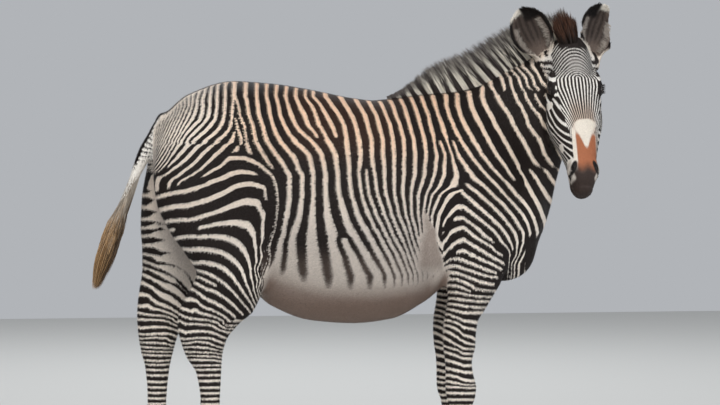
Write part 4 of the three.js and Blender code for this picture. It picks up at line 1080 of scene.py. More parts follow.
def side_place(p):
    """Where a point is in a view of the flank, with the far hind leg drawn under the near one."""
    back = HIND_READ[LEFT](p[:, 2])[2] - HIND_READ[RIGHT](p[:, 2])[2]
    back = back * (p[:, 0] < -150) * smooth(-20, 60, p[:, 1]) * smooth(-250, -350, p[:, 0])
    y = np.abs(p[:, 1])
    return FLANK_AHEAD * (p[:, 0] - back) + FLANK_ASIDE * y, p[:, 2] - FLANK_DROP * y


def thigh_place(s, z):
    """The angle forward of straight up, and the distance, from the centre of the thigh's arcs."""
    ahead, up = s - THIGH_CENTRE[0], z - THIGH_CENTRE[1]
    angle = np.degrees(np.arctan2(ahead, up))
    return np.where(angle < -120, 170, angle), np.hypot(ahead, up)


WAVES = RNG.normal(0, 1, (14, 3)) / RNG.uniform(30, 90, (14, 1))
WAVE_STARTS = RNG.uniform(0, 6.28, 14)


def waver(p, size, finer=1.0):
    """A small smooth wandering that keeps the stripes from running dead even."""
    waves = np.sin(p @ WAVES.T / finer + WAVE_STARTS)
    return 0.035 * size * waves.sum(1)


def face_label(t, l, wide):
    """Loops round the forehead that draw in to lines down the nose."""
    drawn_in = np.interp(t, [146, 190, 265, 318, 350], [1, 1, 0.74, 0.52, 0.42])
    above = np.maximum(0, FACE_LOOPS - t)
    above = 1.5 * np.minimum(above, 38) + 0.95 * np.maximum(0, above - 38)
    bow = np.interp(wide, [0, 70], [1.9, 1.35])
    loop = (wide**bow + above**bow) ** (1 / bow) / drawn_in
    return loop / 12.8 + 0.5 + 0.0012 * np.minimum(l, 0) * (t - 190) / 60


def cheek_label(t, o, l, wide):
    """Lines along the cheeks, which turn to bars across the left side of the nose."""
    bars = smooth(290, 340, t) * (l > 0)
    lines = (o - 0.4 * t + 8 * np.sin(t / 45)) / 18 + wide / 60
    return lines * (1 - bars) + bars * (t / 27 + 0.3 * np.sin(o / 20))


def stripe_labels(p, s, z, angle, away):
    """Every sheet's stripe number at each place."""
    t, o, l = in_head(p).T
    wide = np.abs(l - nose_middle(t))
    label = {name: sheet_label(z, s, guides) for name, guides in LEVEL_GUIDES.items()}
    label["forearm"] = 15 - sheet_label(s, z, FOREARM)
    label["fore"] = 15 - sheet_label(s, z, FORE_BANDS)
    label["hind"] = sheet_label(s, z, HIND_BANDS)
    label["thigh"] = sheet_label(angle, away, THIGH, -1)
    for name, guided in label.items():
        label[name] = guided + waver(p, 0.5 if name in ("fore", "hind") else 0.22)
    label["face"] = face_label(t, l, wide) + waver(p, 0.45, 0.6)
    label["cheek"] = cheek_label(t, o, l, wide) + waver(p, 0.9, 0.7)
    label["dock"] = p[:, 2] / 17 + np.abs(p[:, 1]) / 24
    return label


def head_shares(p, normals):
    """How far each place is on the head, and how far on its sides rather than its front."""
    t, _, l = in_head(p).T
    wide = np.abs(l - nose_middle(t))
    front_of_poll = 45 * smooth(1470, 1520, side_place(p)[1])
    on_head = smooth(-150, -190, p[:, 1] - front_of_poll) * (p[:, 0] > 600)
    on_head = on_head * smooth(-62, -28, t) * (wide < 150)
    front_half = np.interp(t, [0, 200, 300, 430, 500], [88, 96, 84, 56, 50])
    facing = np.clip(normals @ HEAD[1], 0, 1)
    return on_head, np.maximum(smooth(0.74, 0.9, wide / front_half), smooth(0.35, 0.12, facing))


def tail_share(p):
    """How far each place is on the tail's dock."""
    reach = TAIL_READ(np.clip(TAIL_ROOT[2] - p[:, 2], 0, TAIL[-1][0]))[0]
    off = np.hypot(p[:, 0] - TAIL_ROOT[0] + reach, p[:, 1])
    on = smooth(48, 36, off) * smooth(-690, -715, p[:, 0]) * smooth(1400, 1380, p[:, 2])
    return on * (p[:, 2] > 960)


def give(weight, sheets, share, donors):
    """Gives a share of the donors' weights to other sheets, each its part of it."""
    taken = sum(weight[d] for d in donors) * share
    for d in donors:
        weight[d] = weight[d] * (1 - share)
    for name, part in sheets.items():
        weight[name] = weight[name] + taken * part


def sheet_weights(p, s, z, angle, away, label, on_head, side_of_face, on_tail):
    """Which sheet rules where: weights that sum to one."""
    weight = {name: np.zeros(len(p)) for name in SHEETS}
    high, mid, low = smooth(1320, 1285, z), smooth(1212, 1188, z), smooth(965, 935, z)
    weight["back"] = 1 - high
    weight["ribs"] = high * (1 - mid)
    weight["flank"] = high * mid * (1 - low)
    weight["belly"] = high * mid * low
    give(weight, {"crest": 1}, smooth(1462, 1488, z) * smooth(250, 330, s), TRUNK_SHEETS)

    edge = np.interp(z, *CROUP_EDGE)
    upper = smooth(1286, 1294, z)
    behind = smooth(edge + 7, edge - 7, s) * (z > 1050)
    give(weight, {"croup": upper, "croup_low": 1 - upper}, behind, TRUNK_SHEETS)
    last = np.interp(angle, [-2, 3], [0.5, -0.5])
    on_thigh = smooth(last - 0.25, last + 0.25, label["thigh"]) * smooth(100, 85, angle) * (s < -180)
    give(weight, {"thigh": 1}, on_thigh, TRUNK_AND_RUMP)
    on_hind = np.maximum(smooth(75, 55, away), smooth(66, 78, angle) * (z < 1000))
    on_hind = np.maximum(on_hind, smooth(-14, -26, angle) * (z < 860))
    on_hind = np.maximum(on_hind, smooth(640, 600, z)) * (s < -180)
    give(weight, {"hind": 1}, on_hind, TRUNK_AND_RUMP + ["thigh"])

    give(weight, {"chest": 1}, smooth(1162, 1135, z) * smooth(375, 400, s), TRUNK_SHEETS)
    last = np.interp(z, [1040, 1085], [13.5, 14.85])
    on_forearm = smooth(last + 0.25, last - 0.25, label["chest"]) * smooth(1120, 1090, z)
    on_forearm = on_forearm * smooth(305, 340, s)
    give(weight, {"forearm": 1}, on_forearm, TRUNK_SHEETS + ["chest"])
    on_fore = smooth(722, 697, z) * (s > 180)
    give(weight, {"fore": 1}, on_fore, TRUNK_SHEETS + ["chest", "forearm"])

    others = [name for name in SHEETS if name not in HEAD_SHEETS]
    give(weight, {"face": 1 - side_of_face, "cheek": side_of_face}, on_head, others)
    give(weight, {"dock": 1}, on_tail, others)
    return weight


def ended_share(s, z, angle, label, weight):
    """How far each place is on a pale stripe past its end."""
    ended = np.zeros(len(s))
    along = {"s": s, "z": z, "angle": angle}
    for sheet, number, name, start, end in STRIPE_ENDS:
        near = smooth(0.5, 0.35, np.abs(label[sheet] - number)) * smooth(start, end, along[name])
        ended += near * weight[sheet]
    gap = smooth(-14, -11, angle) * smooth(1, -2, angle)
    gap = gap * smooth(0.5, 0.35, np.abs(label["thigh"] - THIGH_GAP))
    return ended + gap * weight["thigh"]


def markings(p, normals):
    """Stripe numbers and weights by sheet, the pale share's limit, softness, and two colours."""
    s, z = side_place(p)
    angle, away = thigh_place(s, z)
    on_head, side_of_face = head_shares(p, normals)
    on_tail = tail_share(p)
    label = stripe_labels(p, s, z, angle, away)
    weight = sheet_weights(p, s, z, angle, away, label, on_head, side_of_face, on_tail)
    look = body_look(p, normals, s, z, on_tail, ended_share(s, z, angle, label, weight))
    mark_breast_and_elbow_shade(look, p, s, z)
    mark_spine(look, p, normals)
    mark_head(look, p, on_head, side_of_face)
    mark_nose(look, p, normals, on_head)
    mark_nostrils(look, p, on_head)
    mark_eyes(look, p)
    mark_tail(look, p, normals, on_tail)
    for ear in EARS.values():
        mark_ear(look, ear, p)
    share = look.pop("share")
    look["limit"] = np.cos(np.pi * np.clip(share, -0.02, 1.02))
    look["limit"] += np.where(share < 0, 0.7, 0) - np.where(share > 1, 0.7, 0)
    labels = np.stack([label[name] for name in SHEETS], 1)
    weights = np.stack([weight[name] for name in SHEETS], 1)
    return labels, weights, look


# ---------- colours ----------


def tint(*parts):
    """A colour from 0 to 255 as the eye sees it, as a linear colour."""
    return np.array([(v / 255) ** 2.2 for v in parts])


# The peach is painted warm sunlight on the pale coat of the back.
SUNLIT_PEACH, CREAM, WHITE = tint(250, 218, 190), tint(246, 230, 213), tint(252, 248, 242)
GREY_PALE, UMBER, BLACK = tint(180, 170, 164), tint(62, 42, 33), tint(30, 25, 24)
RUST, MUZZLE, NOSE_PALE = tint(176, 110, 78), tint(58, 47, 43), tint(212, 203, 194)
ALWAYS = 3  # added to the pale share, it leaves no stripes


def blend(a, b, share):
    """From colour a to colour b, by a share at each point."""
    share = np.asarray(share)[:, None]
    return a * (1 - share) + b * share


def paint(look, colour, part, most=1.0):
    """Lays a colour over a part, without stripes."""
    look["light"] = blend(look["light"], colour, most * part)
    look["share"] = look["share"] + ALWAYS * part


def body_look(p, normals, s, z, on_tail, ended):
    """The pale share, its edges' softness, and the pale and dark colours, but for the details."""
    y = np.abs(p[:, 1])
    low = -normals[:, 2]
    barrel = (s > -330) & (s < 330)
    tail_side = np.hypot(s + 690, z - 1420)
    share = 0.36 - 0.1 * smooth(420, 560, s) * smooth(1050, 1200, z) * smooth(1560, 1450, z)
    share += (0.13 * smooth(1120, 960, z) + 0.12 * smooth(960, 840, z)) * barrel
    share -= 0.03 * smooth(1300, 1200, z) * (s < -180) * (z < 1250)
    share += 0.03 * smooth(600, 400, z) - 0.6 * ended
    share += 0.22 * smooth(260, 120, tail_side) * (s < -400)
    soft = 0.14 + 0.4 * smooth(1000, 820, z) * (s > -330) * (s < 300)

    # The belly, groin and inner thighs are pale.
    belly_line = np.interp(s, [-300, -100, 100, 260, 420], [815, 752, 742, 768, 830])
    under = smooth(60, -35, z - belly_line) * smooth(-345, -300, s) * smooth(345, 310, s) * (z > 600)
    under = np.maximum(under, smooth(0.35, 0.75, low) * (z > 600) * (s > -330) * (s < 380))
    inner = smooth(110, 60, y) * smooth(0.1, -0.4, normals[:, 1] * np.sign(p[:, 1]))
    inner = np.maximum(inner, smooth(80, 60, y) * smooth(800, 830, p[:, 2]))
    inner = inner * smooth(640, 760, z) * smooth(1330, 1250, z) * (s < -250) * (1 - on_tail)
    pale = np.maximum(under, inner)
    share += 0.9 * pale

    # Painted warm sunlight makes the back peach; cream and white below; painted shade greys the lower
    # barrel and browns the underside of the belly.
    # Painted warm sunlight: the pale stripes turn peach on the top of the back.
    light = blend(CREAM, SUNLIT_PEACH, smooth(1120, 1330, z) * smooth(-620, -250, s) * smooth(620, 300, s))
    light = blend(light, WHITE, 0.5 * smooth(1250, 900, z) + 0.4 * smooth(300, 150, tail_side))
    sides = smooth(-330, -280, s) * smooth(330, 280, s)
    # Painted shade: the pale coat greys lower down on the barrel's sides.
    barrel_shade = (0.2 * smooth(1290, 1200, z) + 0.4 * smooth(1120, 920, z)) * sides
    rump = 0.25 * smooth(-250, -330, s) * smooth(800, 900, z) * smooth(1330, 1250, z)
    # Painted shade greys the lower barrel, the belly and the inner thighs; the rump's sides turn grey as
    # well.
    light = blend(light, GREY_PALE, np.maximum(0.75 * pale, np.maximum(barrel_shade, rump)))
    # Painted shade: brown-grey on the downward-facing underside of the belly.
    light = blend(light, tint(128, 98, 82), 0.75 * under * smooth(0.1, 0.8, low))
    brown = smooth(1180, 1330, z) * smooth(-300, -120, s) * smooth(250, 60, s)
    dark = blend(BLACK, UMBER, np.clip(0.75 * brown + 0.1, 0, 1))
    dark = blend(dark, tint(90, 78, 72), 0.75 * smooth(930, 830, z) * barrel)
    return {"share": share, "soft": soft, "light": light, "dark": dark}


def mark_breast_and_elbow_shade(look, p, s, z):
    """A dark point of the breast, and behind the elbow a grey-brown wedge of painted shade, without
    stripes.
    """
    breast = smooth(622, 640, s) * smooth(960, 930, z) * smooth(800, 830, z)
    elbow = np.interp(z, [862, 930, 975, 1010, 1050], [325, 302, 298, 276, 260])
    room = np.interp(z, [860, 1050], [90, 4])
    elbow_shade = smooth(elbow + 5, elbow - 5, s) * smooth(elbow - room - 22, elbow - room + 22, s)
    elbow_shade = elbow_shade * smooth(1062, 1030, z) * smooth(800, 860, z) * (np.abs(p[:, 1]) > 60)
    # The wedge behind the elbow is painted shade: it has no stripes and is grey-brown.
    look["share"] = look["share"] + 0.8 * (elbow_shade - breast)
    look["light"] = blend(look["light"], tint(150, 135, 126), 0.8 * elbow_shade)


def mark_spine(look, p, normals):
    """A dark stripe down the spine, edged with pale on the croup."""
    x, y, z = p[:, 0], np.abs(p[:, 1]), p[:, 2]
    spine = smooth(26, 16, y) * smooth(0.3, 0.5, normals[:, 2] - normals[:, 0] * (x < -500))
    spine = spine * (z > 1250) * (x < 480)
    edge = smooth(60, 42, y) * smooth(-350, -480, x) * (z > 1300) * (1 - spine)
    look["share"] = look["share"] + 0.35 * edge - 2 * spine


def mark_head(look, p, on_head, side_of_face):
    """White and near-black, a grey forehead, and a brownish nose."""
    t, o, l = in_head(p).T
    wide = np.abs(l - nose_middle(t))
    grey = smooth(148, 132, t) * on_head * smooth(44, 12, wide) * smooth(62, 96, t)
    brownish = smooth(215, 300, t) * smooth(60, 30, wide) * on_head
    between = smooth(45, 20, t) * smooth(60, 40, wide) * on_head * smooth(-40, -10, o)
    upper = smooth(170, 120, t) * on_head
    share, soft = look["share"], look["soft"]
    share = share + on_head * (0.5 - share) - 0.9 * between
    share = share - (0.1 + 0.08 * (l < 0)) * on_head * side_of_face * smooth(200, 260, t)
    look["share"] = share - 0.08 * on_head * (1 - side_of_face) * smooth(330, 240, t)
    look["soft"] = soft + on_head * (0.3 - soft) + 1.2 * grey + 0.45 * brownish
    dark = blend(look["dark"], tint(42, 35, 33), on_head)
    look["dark"] = blend(dark, tint(110, 104, 102), grey)
    light = blend(look["light"], WHITE * 0.92, on_head) * (1 - 0.28 * upper[:, None])
    look["light"] = blend(light, tint(190, 160, 138), 0.7 * brownish)


# Pale spots on the right cheek: down the face, out of it, how long and tall, and how far right.
SPOTS = [(486, -42, 17, 24, 20), (412, -62, 15, 16, 20), (241, -62, 13, 18, 60)]


def mark_nose(look, p, normals, on_head):
    """The cheek's spots, the white patch and rust of the nose, the muzzle, and the pale lip."""
    t, o, l = in_head(p).T
    off = l - nose_middle(t)
    wide = np.abs(off)
    front = normals @ HEAD[1]
    spots = [
        smooth(1.2, 0.8, np.hypot((t - down) / long, (o - out) / tall)) * (l < -right)
        for down, out, long, tall, right in SPOTS
    ]
    paint(look, tint(238, 232, 224), np.max(spots, 0) * on_head)
    patch = ((wide / 38) ** 3 + (np.abs(t - 353) / 28) ** 3) ** (1 / 3)
    patch = smooth(1.15, 0.9, patch * (1 + 1.6 * waver(p, 1.0, 0.35)))
    tongue = smooth(1.25, 0.8, wide / np.interp(t, [360, 400, 440], [34, 17, 3])) * smooth(445, 425, t)
    strip = smooth(8, 4, np.abs(off + 42)) * smooth(350, 370, t) * smooth(505, 480, t)
    patch = np.maximum(patch, np.maximum(tongue, strip) * (t > 350)) * on_head * smooth(0.1, 0.4, front)
    rust = smooth(372, 388, t) * smooth(545, 520, t) * smooth(43, 36, wide) * (1 - patch) * on_head
    paint(look, tint(236, 228, 216), patch)
    paint(look, RUST, rust * smooth(0.05, 0.35, front))
    paint(look, MUZZLE, smooth(492, 545, t + 0.2 * (o + 60) + 5 * np.sin(l / 7)) * on_head)
    lip = smooth(34, 44, np.abs(l)) * smooth(480, 500, t) * smooth(548, 528, t) * smooth(-40, -62, o)
    paint(look, NOSE_PALE, lip * on_head, 0.85)


def mark_nostrils(look, p, on_head):
    """Black openings, each with a pale outer edge."""
    t, o, l = in_head(p).T
    down, over, beside = np.array([t, o, np.abs(l)]) - np.array(NOSTRIL["at"])[:, None]
    beside = beside + 3
    away = np.hypot((down + 0.25 * over) / 21, (beside - 0.25 * down) / 9)
    edge = smooth(2.9, 2.3, away) * smooth(0, 8, beside + 0.5 * np.maximum(0, down - 8)) * on_head
    edge = edge * smooth(-80, -66, o) * smooth(470, 490, t) * smooth(556, 544, t)
    paint(look, NOSE_PALE, edge, 0.9)
    paint(look, BLACK * 0.8, smooth(1.35, 0.95, away) * smooth(-75, -60, o) * on_head)


def mark_eyes(look, p):
    """Black lids."""
    for side in EYES:
        away = np.linalg.norm((p - EYES[side]) @ EYE_AXES[side][1:].T / [1.25, 1.0], axis=1)
        near_eye = smooth(27, 19, away) * (np.linalg.norm(p - EYES[side], axis=1) < 60)
        look["share"] = look["share"] - 4 * near_eye
        look["dark"] = blend(look["dark"], BLACK, near_eye)


def mark_tail(look, p, normals, on_tail):
    """The dock is pale, with short dark bars above and a dark line behind."""
    z = side_place(p)[1]
    lower = smooth(1290, 1180, z)
    behind = smooth(0.35, 0.8, -normals[:, 0]) * on_tail * smooth(1180, 1280, z)
    share = look["share"] + on_tail * (0.62 + 0.5 * lower - look["share"])
    look["share"] = share - 2 * behind * smooth(24, 12, np.abs(p[:, 1]))
    look["light"] = blend(look["light"], WHITE, on_tail)


def mark_ear(look, ear, p):
    """Grey-brown inside with a pale margin, a black rim, a white tip, and a barred back."""
    rise, angle, off, radius, bend, wall = ear_place(ear, p)
    from_edge = (bend - np.abs(angle)) * radius
    on = smooth(wall + 5, wall, np.abs(off)) * smooth(0.04, 0.14, rise) * (rise < 1.15)
    on = on * (from_edge > -8)
    inside = smooth(0.5, -0.5, off) * on
    outward = -angle * ear["side"]
    rim = smooth(17, 12, np.minimum(from_edge, (1 - rise) * EAR_LENGTH * 0.8)) * smooth(0.2, 0.32, rise)
    rim = np.maximum(rim, smooth(0.7, 0.78, rise) * smooth(0.05, -0.15, outward))
    tip = smooth(0.83, 0.9, rise) * smooth(-0.12, 0.1, outward)
    margin = smooth(30, 20, from_edge) * smooth(0.8, 0.6, rise)
    streaks = 0.5 + 0.5 * np.sin(angle * 22 + 3 * rise)
    deep = smooth(0.2, 0.45, rise) * smooth(18, 40, from_edge) * (0.45 + 0.4 * streaks)
    inner = blend(tint(108, 95, 88), tint(44, 38, 36), deep)
    inner = blend(inner, tint(140, 131, 124), 0.3 * margin)
    outer = blend(tint(200, 190, 178), BLACK, smooth(0.42, 0.5, rise))
    colour = blend(blend(outer, inner, inside), BLACK, rim)
    colour = blend(colour, tint(228, 222, 212), tip * np.maximum(rim, 1 - inside))
    paint(look, colour, on)


def stripe_values(labels, weights):
    """The cosines of the sheets' phases, each by its weight, summed."""
    return (weights * np.cos(2 * np.pi * labels)).sum(1)


def shown(labels, weights, look, fine):
    """The colour at each point, as the shader shows it; fine shifts the edges a little."""
    value = stripe_values(labels, weights) + fine - look["limit"]
    return blend(look["dark"], look["light"], smooth(-1, 1, value / look["soft"]))


# ---------- the skin's material: stripes from the phases, hair grain from noise ----------


def add_markings(piece, places, normals):
    labels, weights, look = markings(places, normals)
    for k in range(0, len(SHEETS), 3):
        add_values(piece, f"turn_{k // 3}", labels[:, k : k + 3] * 2 * np.pi)
        add_values(piece, f"share_{k // 3}", weights[:, k : k + 3])
    for name in ("limit", "soft", "light", "dark"):
        add_values(piece, name, look[name])


def named(tree, name, output):
    return node(tree, "ShaderNodeAttribute", attribute_name=name).outputs[output]


def maths(tree, operation, *values):
    """One step of arithmetic on numbers."""
    return node(tree, "ShaderNodeMath", dict(enumerate(values)), operation=operation).outputs[0]


def ramp(tree, value, low, high, to_low=0.0, to_high=1.0, **settings):
    """A value from low to high, drawn out to another range."""
    inputs = {"Value": value, "From Min": low, "From Max": high, "To Min": to_low, "To Max": to_high}
    return node(tree, "ShaderNodeMapRange", inputs, **settings).outputs[0]


def mixed(tree, share, first, second):
    """From the first colour to the second, by a share."""
    inputs = {"Factor": share, 6: first, 7: second}
    return node(tree, "ShaderNodeMix", inputs, data_type="RGBA").outputs[2]


def scaled(tree, colour, by):
    return node(tree, "ShaderNodeVectorMath", {0: colour, "Scale": by}, operation="SCALE").outputs[0]


def add_bump(tree, shader, height, distance, strength):
    inputs = {"Height": height, "Distance": distance, "Strength": strength}
    tree.links.new(node(tree, "ShaderNodeBump", inputs).outputs[0], shader.inputs["Normal"])


def grain(tree, scales, size, detail=3.0):
    """Noise drawn out along the coat."""
    place = node(tree, "ShaderNodeTexCoord").outputs["Object"]
    drawn = node(tree, "ShaderNodeVectorMath", {0: place, 1: scales}, operation="MULTIPLY")
    inputs = {"Vector": drawn.outputs[0], "Scale": size, "Detail": detail, "Roughness": 0.6}
    return node(tree, "ShaderNodeTexNoise", inputs).outputs["Fac"]


def stripe_value(tree):
    """The cosines of the sheets' phases, each by its weight, summed."""
    total = 0.0
    for k in range(len(SHEETS) // 3):
        turns = node(tree, "ShaderNodeSeparateXYZ", {0: named(tree, f"turn_{k}", "Vector")})
        shares = node(tree, "ShaderNodeSeparateXYZ", {0: named(tree, f"share_{k}", "Vector")})
        for axis in range(3):
            wave = maths(tree, "COSINE", turns.outputs[axis])
            total = maths(tree, "MULTIPLY_ADD", wave, shares.outputs[axis], total)
    return total


def skin_material():
    material, tree, shader = new_material("coat_skin", 0.62)
    fine, broad = grain(tree, (0.5, 1.0, 0.6), 420.0), grain(tree, (1.0, 1.0, 1.0), 14.0, 2.0)
    value = maths(tree, "ADD", stripe_value(tree), maths(tree, "MULTIPLY_ADD", fine, 0.4, -0.2))
    over = maths(tree, "SUBTRACT", value, named(tree, "limit", "Fac"))
    soft = named(tree, "soft", "Fac")
    pale = ramp(tree, over, maths(tree, "MULTIPLY", soft, -1.0), soft, interpolation_type="SMOOTHSTEP")
    stripes = mixed(tree, pale, named(tree, "dark", "Color"), named(tree, "light", "Color"))
    hairs, patches = ramp(tree, fine, 0.25, 0.75, 0.8, 1.14), ramp(tree, broad, 0.3, 0.7, 0.93, 1.05)
    colour = scaled(tree, stripes, maths(tree, "MULTIPLY", hairs, patches))
    tree.links.new(colour, shader.inputs["Base Color"])
    add_bump(tree, shader, fine, 0.0022, 0.55)
    shader.inputs["Specular IOR Level"].default_value = 0.3
    return material




# ---------- tufts: blades of mesh that grow from the skin ----------


def vertex_normals(places, faces):
    a, b, c = (places[faces[:, i]] for i in range(3))
    across = np.cross(b - a, c - a)
    normals = np.zeros_like(places)
    for i in range(3):
        for k in range(3):
            normals[:, i] += np.bincount(faces[:, k], across[:, i], len(places))
    return normals / np.maximum(np.linalg.norm(normals, axis=1, keepdims=True), 1e-9)


def unwrap(piece):
    """Unwraps the skin by its own shape, and gives each face's three corners on the map."""
    piece.data.uv_layers.new(name="OFBake")
    bpy.context.view_layer.objects.active = piece
    piece.select_set(True)
    bpy.ops.object.mode_set(mode="EDIT")
    bpy.ops.mesh.select_all(action="SELECT")
    bpy.ops.uv.smart_project(angle_limit=1.15, island_margin=0.002)
    bpy.ops.object.mode_set(mode="OBJECT")
    piece.select_set(False)
    corners = np.empty(len(piece.data.loops) * 2)
    piece.data.uv_layers["OFBake"].data.foreach_get("uv", corners)
    return corners.reshape(-1, 3, 2)


def scatter(places, faces, density):
    """Roots spread over the faces: which face each is in, and its share of the corners."""
    a, b, c = (places[faces[:, i]] for i in range(3))
    area = np.linalg.norm(np.cross(b - a, c - a), axis=1) / 2
    wanted = area * density((a + b + c) / 3)
    count = np.floor(wanted + RNG.random(len(wanted))).astype(int)
    face = np.repeat(np.arange(len(faces)), count)
    r1, r2 = np.sqrt(RNG.random(len(face))), RNG.random(len(face))
    return face, np.stack([1 - r1, r1 * (1 - r2), r1 * r2], 1)


def blades(name, line, side, widths, colour, spots, material, slot):
    """Joined blades. line: (tufts, levels, 3) places; side: the way a blade is broad; widths by
    level, the last a point; colour: (tufts, levels, 3); spots: each root's place on the map."""
    count, levels = line.shape[:2]
    broad = side[:, None, :] * widths[..., None] / 2
    left, right = (line - broad)[:, :-1], (line + broad)[:, :-1]
    points = np.concatenate([np.stack([left, right], 2).reshape(count, -1, 3), line[:, -1:]], 1)
    each = points.shape[1]
    pattern = []
    for k in range(levels - 2):
        pattern += [[2 * k, 2 * k + 1, 2 * k + 2], [2 * k + 1, 2 * k + 3, 2 * k + 2]]
    pattern.append([each - 3, each - 2, each - 1])
    faces = (np.arange(count)[:, None, None] * each + np.array(pattern)).reshape(-1, 3)
    piece = mesh_object(name, points.reshape(-1, 3), faces, material)
    tints = np.concatenate([np.repeat(colour[:, :-1], 2, axis=1), colour[:, -1:]], 1)
    add_values(piece, "hair", tints.reshape(-1, 3))
    level = np.append(np.repeat(np.arange(levels - 1), 2), levels - 1) / (levels - 1)
    way = np.append(np.tile([-1.0, 1.0], levels - 1), 0)
    patch = np.stack([way * 0.0014 * (1 - level * 0.6), (level - 0.5) * 0.003], 1)
    uv = (spots[:, None, :] + patch).reshape(-1, 2)[faces.ravel()]
    piece.data.uv_layers.new(name="OFBake").data.foreach_set("uv", uv.astype(np.float32).ravel())
    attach(piece, "root")
    return piece


def lie_at(p):
    """The way the coat lies at each place, before it is laid along the skin."""
    s, z = side_place(p)
    t = in_head(p)[:, 0]
    lie = np.tile([-0.95, 0, -0.32], (len(p), 1))

    def turn(share, way):
        lie[:] = lie * (1 - share[:, None]) + np.asarray(way) * share[:, None]

    turn(smooth(380, 560, s) * smooth(1000, 1150, z), (-0.5, 0, -0.87))
    turn(smooth(-420, -640, s), (-0.5, 0, -0.87))
    turn(smooth(1150, 850, z) * ((s < -300) | (s > 280)), (-0.12, 0, -1))
    turn(smooth(-20, 40, t) * (p[:, 0] > 600) * smooth(-120, -190, p[:, 1]), HEAD[0])
    for ear in EARS.values():
        rise, _, off, _, _, wall = ear_place(ear, p)
        turn(smooth(wall + 6, wall + 2, np.abs(off)) * smooth(0.05, 0.15, rise) * (rise < 1.2), ear["up"])
    turn((p[:, 0] < -705) * smooth(1400, 1370, p[:, 2]) * (p[:, 2] > 950), (-0.3, 0, -1))
    return lie


def hair_material(name, rough):
    material, tree, shader = new_material(name, rough)
    shade = ramp(tree, grain(tree, (1.0, 1.0, 1.0), 160.0, 2.0), 0.25, 0.75, 0.88, 1.12)
    colour = scaled(tree, named(tree, "hair", "Vector"), shade)
    tree.links.new(colour, shader.inputs["Base Color"])
    shader.inputs["Specular IOR Level"].default_value = 0.25
    return material


def taper(widths, low, high, count):
    """Widths from root to tip, with each blade a little finer or broader than the next."""
    return np.array(widths) * RNG.uniform(low, high, (count, 1))


def coat_size(p):
    """By place: a tuft's length, how much skin it has, and how far it is on the head."""
    t = in_head(p)[:, 0]
    on_head = smooth(-30, 60, t) * (p[:, 0] > 600) * smooth(-130, -180, p[:, 1])
    low = smooth(900, 500, p[:, 2])
    length, room = 9 - 3 * low, 17 - 6 * low
    length = length + on_head * (5.5 - 2 * smooth(100, 420, t) - length)
    return length, room + on_head * (6.5 - room), on_head


def bare(p):
    """Where no tufts grow: on the eyes, and on half of the muzzle."""
    t, _, l = in_head(p).T
    closed = np.zeros(len(p), bool)
    for side in EYES:
        edge = lid_place(side, p)[3]
        closed |= (np.linalg.norm(p - EYES[side], axis=1) < 34) & (edge < 4)
    closed |= (t > 500) & (np.abs(l) < 120) & (p[:, 0] > 600) & (RNG.random(len(p)) < 0.55)
    return closed


COAT_REGIONS = ["foreleg", "hindleg", "neck", "barrel", "croup"]


def coat_regions(roots, on_head):
    """Which piece of the coat each root is in, and the pieces' names."""
    s, z = side_place(roots)
    high = np.where(s > 380, 3, np.where(s > -330, 4, 5))
    region = np.where(z < 900, np.where(s > 0, 1, 2), high) + len(COAT_REGIONS) * (roots[:, 1] > 0)
    names = [region + side for side in ("_right", "_left") for region in COAT_REGIONS]
    return np.where(on_head > 0.5, 0, region), ["head"] + names


def grow_coat(places, faces, normals, corners, material):
    """The short coat, in pieces small enough to handle."""
    face, share = scatter(places, faces, lambda p: 1 / coat_size(p)[1])
    roots = (places[faces[face]] * share[..., None]).sum(1)
    keep = ~bare(roots)
    face, share, roots = face[keep], share[keep], roots[keep]
    count = len(roots)
    up = unit((normals[faces[face]] * share[..., None]).sum(1))
    spots = (corners[face] * share[..., None]).sum(1)
    length, _, on_head = coat_size(roots)
    reach = (length * RNG.uniform(0.75, 1.15, count))[:, None]
    lie = lie_at(roots)
    lie = unit(lie - up * (lie * up).sum(1, keepdims=True) + 1e-6)
    side = np.cross(up, lie)
    swing = RNG.normal(0, 0.13, count)[:, None]
    lie, side = lie + side * swing, side - lie * swing
    rise = coat_depth(roots)[:, None] * RNG.uniform(0.7, 1.0, (count, 1))
    middle = roots + lie * reach * 0.5 + up * rise * 0.75
    line = np.stack([roots - up * 0.3, middle, roots + lie * reach + up * rise], 1)
    widths = (1.9 - 0.7 * on_head)[:, None] * taper([0.8, 1.0, 0.0], 0.8, 1.2, count)
    colour = shown(*markings(roots, up), RNG.normal(0, 0.05, count))
    colour = colour * RNG.uniform(0.84, 1.12, (count, 1))
    tones = colour[:, None, :] * np.array([0.86, 1.0, 1.08])[None, :, None]
    region, names = coat_regions(roots, on_head)
    for k, name in enumerate(names):
        chosen = region == k
        parts = (values[chosen] for values in (line, side, widths, tones, spots))
        blades("coat_" + name, *parts, material, "coat")


# ---------- mane, forelock and tail ----------
# Columns: place along the mane, x, y, height, and how far it leans back.

MANE_PATH = [
    (0, 132, 0, 8, 0.5),
    (60, 190, 0, 28, 0.5),
    (130, 260, 0, 62, 0.5),
    (200, 330, 0, 106, 0.42),
    (290, 420, -1, 134, 0.3),
    (400, 525, -8, 142, 0.22),
    (510, 630, -24, 146, 0.16),
    (600, 710, -38, 140, 0.1),
    (660, 755, -66, 120, 0.05),
    (705, 775, -104, 104, 0),
]


def crest_height(x, y):
    """Where the neck's top is, found by halving."""
    low, high = np.full(len(x), 1380.0), np.full(len(x), 1720.0)
    for _ in range(24):
        z = (low + high) / 2
        inside = flesh(np.stack([x, y, z], 1)) < 0
        low, high = np.where(inside, z, low), np.where(inside, high, z)
    return low


